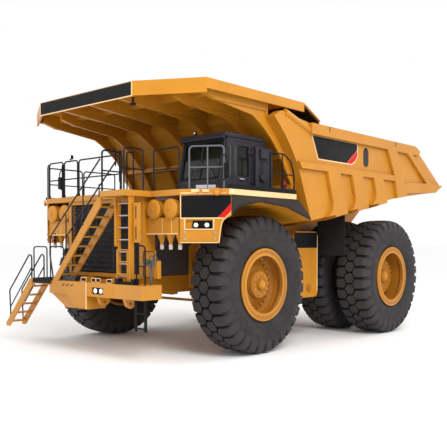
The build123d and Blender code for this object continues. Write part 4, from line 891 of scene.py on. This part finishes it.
hoop_line = [(2.03, 1.85), (2.03, 2.78), (2.33, 2.78), (2.33, 1.85)]
hoop = [pipe([at(9.10, y, z) for y, z in hoop_line], 0.018, bend=0.10),
        pipe([at(9.10, 2.03, 2.30), at(9.10, 2.33, 2.30)], 0.014)]
piece("bumper_hoop", hoop, black_paint)

# -------- stair treads, sockets and landing
TREADS = 8
tread_step = (0, 0.2325, 0.24375)
first_tread = at(0, -0.98375, 2.021875)
grip = case((8.690, -0.090, 0.019), (9.130, 0.092, 0.028), 0.003)
nosing = case((8.690, -0.104, -0.022), (9.130, -0.086, 0.032), 0.003)
grips = repeated(grip, TREADS, first_tread, grille_black, tread_step)
piece("stair_grips", grips, grille_black)
piece("stair_nosings", repeated(nosing, TREADS, first_tread, bare_steel, tread_step), bare_steel)
sockets = [turned([(0, 0.036), (0.16, 0.036), (0.16, 0.022), (0, 0.022)], at(x, y, z - 0.12), UP, 20)
           for x in (8.660, 9.160) for y, z in ((-0.65, 2.64), (0.08, 3.40))]
piece("stair_post_sockets", sockets, black_paint)
grate_bar = case((8.64, -0.006, 1.880), (9.19, 0.006, 1.898), 0.002)
landing = [case(at(8.625, -2.125, 1.8605), at(9.204, -1.300, 1.882), 0.004),
           case(at(9.2005, -2.125, 1.765), at(9.212, -1.300, 1.900), 0.004),
           repeated(grate_bar, 20, at(0, -2.100, 0), black_paint, step=(0, 0.0415, 0))]
piece("landing_grating", landing, black_paint)

# -------- air cleaners
lid_profile = [(0, 0.236), (0.018, 0.240), (0.036, 0.226), (0.054, 0.170), (0.062, 0.090), (0.062, 0.045),
               (0.080, 0.040)]
band_profile = [(0, 0.229), (0, 0.239), (0.045, 0.239), (0.045, 0.229)]
tip_profile = [(0, 0.040), (0.012, 0.047), (0.105, 0.050), (0.12, 0.044)]
for side, s in SIDES:
    lids = [knob(lid_profile, at(8.372, s * y, 3.65), AHEAD, 40) for y in (1.83, 2.41)]
    bands = [turned(band_profile, at(x, s * y, 3.65), AHEAD, 40) for y in (1.83, 2.41) for x in (7.72, 8.28)]
    tips = [knob(tip_profile, at(8.20, s * y, 2.685), UP) for y in (1.93, 2.24, 2.56)]
    piece(f"air_cleaner_lids_{side}", lids, yellow_paint)
    piece(f"air_cleaner_bands_{side}", bands, yellow_paint)
    piece(f"dust_cup_tips_{side}", tips, pale_rubber)
    seams = [case(at(8.328, s * y - 0.006, 3.08), at(8.336, s * y + 0.006, 3.42), 0.002) for y in (2.08, 2.40)]
    seams.append(case(at(8.326, s * 2.08 - 0.55, 3.045), at(8.346, s * 2.08 + 0.55, 3.075), 0.004))
    piece(f"dust_box_seams_{side}", seams, pale_highlight_paint)

# -------- radiator
wire = case((8.452, -1.36, -0.006), (8.460, -0.62, 0.006), 0.002)
piece("radiator_mesh", repeated(wire, 22, at(0, 0, 2.90), grille_black, step=(0, 0, 0.042)), grille_black)
guard = [case(at(8.449, y - 0.02, 2.06), at(8.466, y + 0.02, 3.86), 0.004) for y in (-1.37, -0.61, 0.40)]
piece("radiator_guard", guard, grille_black)
frame_bolt = hex_bolt(0.016, 0.014)
frame_bolt.transform(Matrix.Rotation(math.pi / 2, 4, "Y"))
frame_bolts = [repeated(frame_bolt, 9, at(8.450, y, 2.10), bare_steel, (0, 0, 0.215)) for y in (-1.45, 1.45)]
piece("radiator_bolts", frame_bolts, bare_steel)
side_panels = [case(at(8.440, 1.55, 1.990), at(8.470, 1.98, 2.660), 0.010),
               case(at(8.440, 2.02, 1.990), at(8.560, 2.16, 2.420), 0.012)]
piece("front_side_panel", side_panels, yellow_paint)
seal_line = [at(8.476, y, z) for y, z in rectangle(1.57, 2.01, 1.96, 2.64)]
piece("front_side_panel_seal", pipe(seal_line, 0.009, closed=True, bend=0.03), flap_rubber)

# -------- cab: roof, windows and door
roof = case(at(5.575, 1.440, 5.438), at(7.145, 3.050, 5.560), 0.055)
visor = case(at(7.060, 1.500, 5.395), at(7.190, 2.990, 5.470), 0.030)
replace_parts(piece("cab_roof_shell", [roof, visor], cab_paint), "cab_roof")
SCREEN_FOOT, SCREEN_HEAD = Vector((7.250, 0, 4.320)), Vector((7.010, 0, 5.440))
screen_up = (SCREEN_HEAD - SCREEN_FOOT).normalized()
screen_out = Vector((screen_up.z, 0, -screen_up.x))


def on_screen(y, z, out=0.0):
    """A place on the windscreen's outer face, raised by out."""
    along = (z - SCREEN_FOOT.z) / screen_up.z
    return at(SCREEN_FOOT.x, y, SCREEN_FOOT.z) + screen_up * along + screen_out * out


def seal(places, radius, bend):
    """A rubber seal round a window."""
    return pipe(places, radius, closed=True, bend=bend)


seals = [seal([on_screen(y, z, 0.004) for y, z in rectangle(1.61, 4.43, 2.88, 5.35)], 0.014, 0.08),
         seal([at(x, 1.488, z) for x, z in rectangle(5.71, 4.56, 6.69, 5.29)], 0.012, 0.07),
         seal([at(5.356, y, z) for y, z in rectangle(1.66, 4.56, 2.83, 5.04)], 0.012, 0.07)]
piece("cab_window_seals", seals, flap_rubber)
door_seal = seal([at(x, 2.998, z) for x, z in rectangle(6.195, 4.525, 6.605, 5.265)], 0.012, 0.06)
piece("door_window_seal", door_seal, flap_rubber, "cab_door")
door_handle = [case(at(x, 2.993, 4.425), at(x + 0.030, 3.035, 4.450), 0.004) for x in (6.415, 6.545)]
door_handle.append(case(at(6.405, 3.025, 4.420), at(6.585, 3.045, 4.455), 0.008))
piece("door_handle", door_handle, bare_steel, "cab_door")
pillars = [pipe([on_screen(y, 4.36, 0.012), on_screen(y, 5.42, 0.012)], 0.022) for y in (1.545, 2.945)]
pillars.append(pipe([on_screen(2.23, 4.44, 0.006), on_screen(2.23, 5.34, 0.006)], 0.012))
piece("cab_pillars", pillars, cab_paint)
wipers = []
for y, reach in ((1.78, 0.42), (2.72, -0.42)):
    tip_y = y + reach
    arm_line = [on_screen(y, 4.475, 0.030), on_screen(y + reach * 0.4, 4.70, 0.040),
                on_screen(tip_y, 4.72, 0.030)]
    blade_line = [on_screen(tip_y - 0.13, 4.64, 0.022), on_screen(tip_y + 0.13, 4.79, 0.022)]
    boss = knob([(0, 0.022), (0.030, 0.020), (0.034, 0.0)], on_screen(y, 4.475, 0.002), screen_out, 16)
    wipers += [pipe(arm_line, 0.009, bend=0.05), pipe(blade_line, 0.011), boss]
piece("windscreen_wipers", wipers, fitting_grey)
grab_line = [(2.995, 4.48), (3.060, 4.48), (3.060, 5.22), (2.995, 5.22)]
grab_rails = [pipe([at(x, y, z) for y, z in grab_line], 0.013, bend=0.05) for x in (6.80, 6.98)]
piece("cab_grab_rails", grab_rails, fitting_grey)

# -------- cab: roof lamp, side box and fire bottle
lamp_profile = [(0, 0.040), (0.060, 0.056), (0.068, 0.050), (0.060, 0.0)]
roof_lamp = [knob(lamp_profile, at(7.00, 1.93, 5.625), AHEAD),
             pipe([at(7.02, 1.93, 5.55), at(7.02, 1.93, 5.59)], 0.014)]
piece("cab_roof_lamp", roof_lamp, black_paint)
roof_lens = knob([(0, 0.024), (0.010, 0.020), (0.014, 0.0)], at(7.062, 1.93, 5.625), AHEAD)
piece("cab_roof_lamp_lens", roof_lens, lens)
louvre = case((5.62, 3.141, -0.006), (5.96, 3.149, 0.006), 0.003)
piece("cab_box_louvres", repeated(louvre, 9, at(0, 0, 4.92), cab_paint, step=(0, 0, 0.034)), cab_paint)
cap_profile = [(0, 0.105), (0.055, 0.110), (0.080, 0.090), (0.085, 0.0)]
box_fittings = [knob(cap_profile, at(5.83, 3.138, 4.50), LEFT, 28),
                pipe([at(5.83, 3.17, 4.60), at(5.86, 3.20, 4.74), at(5.80, 3.17, 4.90)], 0.016, bend=0.08),
                case(at(5.70, 3.135, 4.98), at(5.98, 3.24, 5.22), 0.020)]
piece("cab_box_fittings", box_fittings, cab_plastic)
bottle_profile = [(0, 0.062), (0.010, 0.070), (0.300, 0.070), (0.345, 0.045), (0.365, 0.024), (0.40, 0.024)]
piece("fire_bottle", knob(bottle_profile, at(5.28, 3.42, 4.102), UP, 28), bottle_red)
handle_line = [at(x, 3.42, z) for x, z in ((5.28, 4.50), (5.28, 4.55), (5.34, 4.53), (5.37, 4.38))]
bottle_fittings = [pipe(handle_line, 0.012, bend=0.03),
                   turned([(0, 0.069), (0, 0.075), (0.03, 0.075), (0.03, 0.069)], at(5.28, 3.42, 4.30), UP, 28),
                   case(at(5.20, 3.41, 4.102), at(5.23, 3.43, 4.40), 0.004)]
piece("fire_bottle_fittings", bottle_fittings, black_paint)

# -------- cab: what is seen through the glass
WHEEL_AXIS = Vector((-0.5, 0, 0.86))
wheel_hub = at(6.72, 2.25, 4.72)
steering_wheel = [turned([(-0.013, 0.190), (0, 0.205), (0.013, 0.190), (0, 0.175)], wheel_hub, WHEEL_AXIS, 36),
                  pipe([at(6.86, 2.25, 4.44), at(6.725, 2.25, 4.71)], 0.024)]
for k in range(3):
    spoke = Matrix.Rotation(2 * math.pi * k / 3, 3, WHEEL_AXIS.normalized()) @ Vector((0, 0.19, 0))
    steering_wheel.append(pipe([wheel_hub, wheel_hub + spoke], 0.012))
piece("steering_wheel", steering_wheel, cab_plastic)
cushions = [case(at(5.86, 2.01, 4.555), at(6.36, 2.49, 4.660), 0.045),
            case(at(5.885, 2.03, 4.64), at(6.02, 2.47, 5.19), 0.050),
            case(at(5.90, 2.12, 5.17), at(6.00, 2.38, 5.34), 0.045)]
cushions += [case(at(5.98, y, 4.74), at(6.28, y + 0.06, 4.79), 0.022) for y in (1.95, 2.49)]
piece("seat_cushions", cushions, seat_cloth)
dash = [case(at(6.94, 1.75, 4.395), at(7.12, 2.75, 4.520), 0.030),
        case(at(6.93, 2.05, 4.50), at(7.05, 2.45, 4.60), 0.025)]
piece("dash_top", dash, cab_plastic)
liner = [case(at(5.425, 1.62, 4.60), at(5.440, 2.92, 5.32), 0.004),
         case(at(5.50, 2.02, 5.385), at(6.90, 2.92, 5.400), 0.004)]
piece("cab_liner", liner, olive_painted_reflection)

# -------- mirrors, lamps and posts on the deck's rails
DECK_TOP = 4.102


def mirror(name, ahead, y, out):
    """A mirror, its two arms outboard of its rail, and its glass, which looks back. The right one has a post."""
    def beside(x, outboard, z):
        return at(ahead + x, y + out * outboard, z)

    middle = y + out * 0.13
    upper_arm = [beside(0, 0, 4.88), beside(0.02, 0.10, 4.86), beside(0.02, 0.17, 4.70),
                 beside(0.02, 0.12, 4.60)]
    lower_arm = [beside(0, 0, 4.30), beside(0.02, 0.10, 4.33), beside(0.02, 0.15, 4.42)]
    parts = [pipe(upper_arm, 0.015, bend=0.08), pipe(lower_arm, 0.013),
             case(at(ahead - 0.01, middle - 0.07, 4.34), at(ahead + 0.05, middle + 0.07, 4.68), 0.022)]
    if name == "right":
        parts.append(knob([(0, 0.045), (0.90, 0.045), (0.92, 0.0)], at(ahead, y, DECK_TOP), UP, 20))
    piece(f"mirror_{name}", parts, black_paint)
    face = case(at(ahead - 0.016, middle - 0.055, 4.36), at(ahead - 0.009, middle + 0.055, 4.66), 0.002)
    piece(f"mirror_glass_{name}", face, chrome)


mirror("right", 8.31, -1.98, -1)
mirror("left", 7.80, 3.56, 1)
work_lamp = [case(at(8.26, -1.70, 5.14), at(8.35, -1.56, 5.25), 0.015),
             pipe([at(8.31, -1.62, 5.08), at(8.31, -1.62, 5.16)], 0.012)]
piece("rail_work_lamp", work_lamp, black_paint)
piece("rail_work_lamp_lens", case(at(8.348, -1.69, 5.15), at(8.356, -1.57, 5.24), 0.003), lens)
loop_line = [(-0.12, 4.12), (-0.12, 5.24), (0.42, 5.24), (0.42, 4.80)]
front_posts = [knob([(0, 0.036), (0.78, 0.036), (0.80, 0.0)], at(8.31, 0.50, 4.40), UP, 20),
               pipe([at(8.40, y, z) for y, z in loop_line], 0.018, bend=0.09),
               pipe([at(8.56, 1.06, 5.06), at(8.56, 1.30, 5.06)], 0.017)]
front_posts += [pipe([at(8.56, y, DECK_TOP), at(8.56, y, 5.06)], 0.017) for y in (1.06, 1.30)]
piece("front_posts", front_posts, black_paint)
foot_profile = [(0, 0.050), (0.014, 0.050), (0.020, 0.030), (0.075, 0.030)]
post_places = [(8.31, y) for y in (-2.64, -1.98, -1.92, -1.31, -1.25, 0.50, 1.76, 2.64)]
post_places += [(x, 3.64) for x in (5.14, 5.64, 6.14)] + [(x, -3.64) for x in (5.14, 6.38, 6.44, 7.66)]
piece("rail_post_feet", [knob(foot_profile, at(x, y, 4.101), UP, 16) for x, y in post_places], black_paint)

# -------- tanks
piece("fuel_tank_panel", case(at(2.46, 2.546, 2.690), at(3.62, 2.562, 3.140), 0.008), black_paint)
boss_profile = [(0, 0.110), (0.020, 0.110), (0.028, 0.080), (0.060, 0.075), (0.068, 0.0)]
bosses = [knob(boss_profile, at(2.90, 2.548, 1.50), LEFT, 28),
          knob([(0, 0.070), (0.050, 0.066), (0.056, 0.0)], at(3.35, 2.548, 2.42), LEFT)]
piece("fuel_tank_boss", bosses, shaded_yellow_paint)
piece("fuel_tank_edge", case(at(2.425, 2.546, 1.40), at(2.462, 2.556, 3.05), 0.004), pale_highlight_paint)
straps = [case(at(x - 0.04, 2.547, 1.36), at(x + 0.04, 2.558, 2.66), 0.004) for x in (2.70, 3.37)]
straps += [case(at(x - 0.04, 0.95, 1.224), at(x + 0.04, 2.42, 1.233), 0.003) for x in (2.70, 3.37)]
piece("fuel_tank_straps", straps, yellow_paint)
tank_fittings = [case(at(3.30, -2.412, 1.75), at(3.36, -2.398, 2.25), 0.005),
                 knob([(0, 0.085), (0.060, 0.080), (0.068, 0.0)], at(2.80, -1.90, 2.899), UP)]
piece("hydraulic_tank_fittings", tank_fittings, bare_steel)

# -------- pipes, tail lamps and axle bolts on the chassis
axle_ahead = front_axle.x - rear_axle.x
supply_line = [(4.40, 1.62), (3.90, 1.52), (2.35, 1.52), (2.10, 1.66)]
return_line = [(4.40, 1.72), (3.90, 1.66), (1.60, 1.66), (1.30, 2.30)]
lines = []
for side, s in SIDES:
    steer_line = [at(axle_ahead - 0.30, s * 1.70, 2.30), at(axle_ahead - 0.34, s * 1.60, 2.10),
                  at(axle_ahead - 0.34, s * 0.90, 1.85)]
    lines += [pipe([at(x, s * 0.835, z) for x, z in supply_line], 0.022, bend=0.12),
              pipe([at(x, s * 0.835, z) for x, z in return_line], 0.016, bend=0.12),
              pipe(steer_line, 0.018, bend=0.10)]
piece("hydraulic_pipes", lines, flap_rubber)
tail_boxes = [case(at(-1.935, y - 0.16, 2.46), at(-1.898, y + 0.16, 2.62), 0.010) for y in (-0.62, 0.62)]
piece("tail_lamp_boxes", tail_boxes, black_paint)
tail_lens = [(0, 0.055), (0.014, 0.052), (0.022, 0.0)]
tail_lenses = [knob(tail_lens, at(-1.934, y, 2.54), (-1, 0, 0)) for y in (-0.70, -0.55, 0.55, 0.70)]
piece("tail_lamp_lenses", tail_lenses, red_lens)
flange_bolt = facing_y(hex_bolt(0.020, 0.022), 1)
flange_bolts = [bolt_circle(flange_bolt, 0.50, 24, (rear_axle.x, s * 1.158, rear_axle.z), bare_steel)
                for side, s in SIDES]
piece("axle_flange_bolts", flange_bolts, bare_steel)

# -------- small fittings at the front
reflector = at(8.436, -2.38, 2.90)
stem = [case(at(8.318, -2.43, 2.83), at(8.330, -2.33, 3.12), 0.003),
        pipe([at(8.326, -2.38, 2.90), at(8.44, -2.38, 2.90)], 0.012)]
piece("reflector_stem", stem, black_paint)
piece("reflector_disc", knob([(0, 0.066), (0.012, 0.066), (0.016, 0.060)], reflector, AHEAD, 28), red_paint)
piece("reflector_ring", turned([(0, 0.022), (0, 0.038), (0.006, 0.036), (0.006, 0.024)], at(8.451, -2.38, 2.90),
                               AHEAD, 28), pale_rubber)
couplings = [case(at(8.74, 2.10, 2.30), at(8.86, 2.30, 2.44), 0.012),
             pipe([at(8.80, 2.20, 1.862), at(8.80, 2.20, 2.32)], 0.030)]
for y, z, reach in ((2.13, 2.36, 0.11), (2.27, 2.33, 0.14), (2.20, 2.44, 0.10)):
    collar = reach - 0.04
    profile = [(0, 0.024), (collar, 0.024), (collar, 0.036), (reach, 0.036)]
    couplings.append(knob(profile, at(8.84, y, z), AHEAD, 18))
for y, top in ((2.14, 2.54), (2.25, 2.57)):
    couplings.append(pipe([at(8.78, y, 2.42), at(8.78, y, top), at(8.78, y + 0.07, top + 0.01),
                           at(8.70, y + 0.08, top - 0.16)], 0.012, bend=0.05))
piece("service_couplings", couplings, fitting_grey)

# -------- floor and light
FLOOR_HALF = 400
floor_mesh = bpy.data.meshes.new("floor")
floor_corners = [(x, y, 0) for x, y in rectangle(-FLOOR_HALF, -FLOOR_HALF, FLOOR_HALF, FLOOR_HALF)]
floor_mesh.from_pydata(floor_corners, [], [(0, 1, 2, 3)])
floor = bpy.data.objects.new("floor", floor_mesh)
bpy.context.scene.collection.objects.link(floor)
floor_paint, tree, shader = finish_of("floor_paint")
shader.inputs["Base Color"].default_value = (0.97, 0.97, 0.97, 1)
shader.inputs["Roughness"].default_value = 0.9
floor_mesh.materials.append(floor_paint)

world = bpy.data.worlds.new("studio")
world.use_nodes = True
world.node_tree.nodes["Background"].inputs["Color"].default_value = (1, 1, 1, 1)
world.node_tree.nodes["Background"].inputs["Strength"].default_value = 1.0
bpy.context.scene.world = world


def lamp(name, place, target, size, power):
    """A square soft light that looks at a target."""
    data = bpy.data.lights.new(name, "AREA")
    data.shape = "SQUARE"
    data.size = size
    data.energy = power
    light = bpy.data.objects.new(name, data)
    light.location = place
    light.rotation_euler = (Vector(target) - Vector(place)).to_track_quat("-Z", "Y").to_euler()
    bpy.context.scene.collection.objects.link(light)


lamp("key", (12, 18, 17), (0, 1, 3), 10, 3300)
lamp("fill", (20, -10, 10), (3, 0, 3), 14, 450)
lamp("back", (-16, 6, 14), (0, 0, 3), 12, 700)
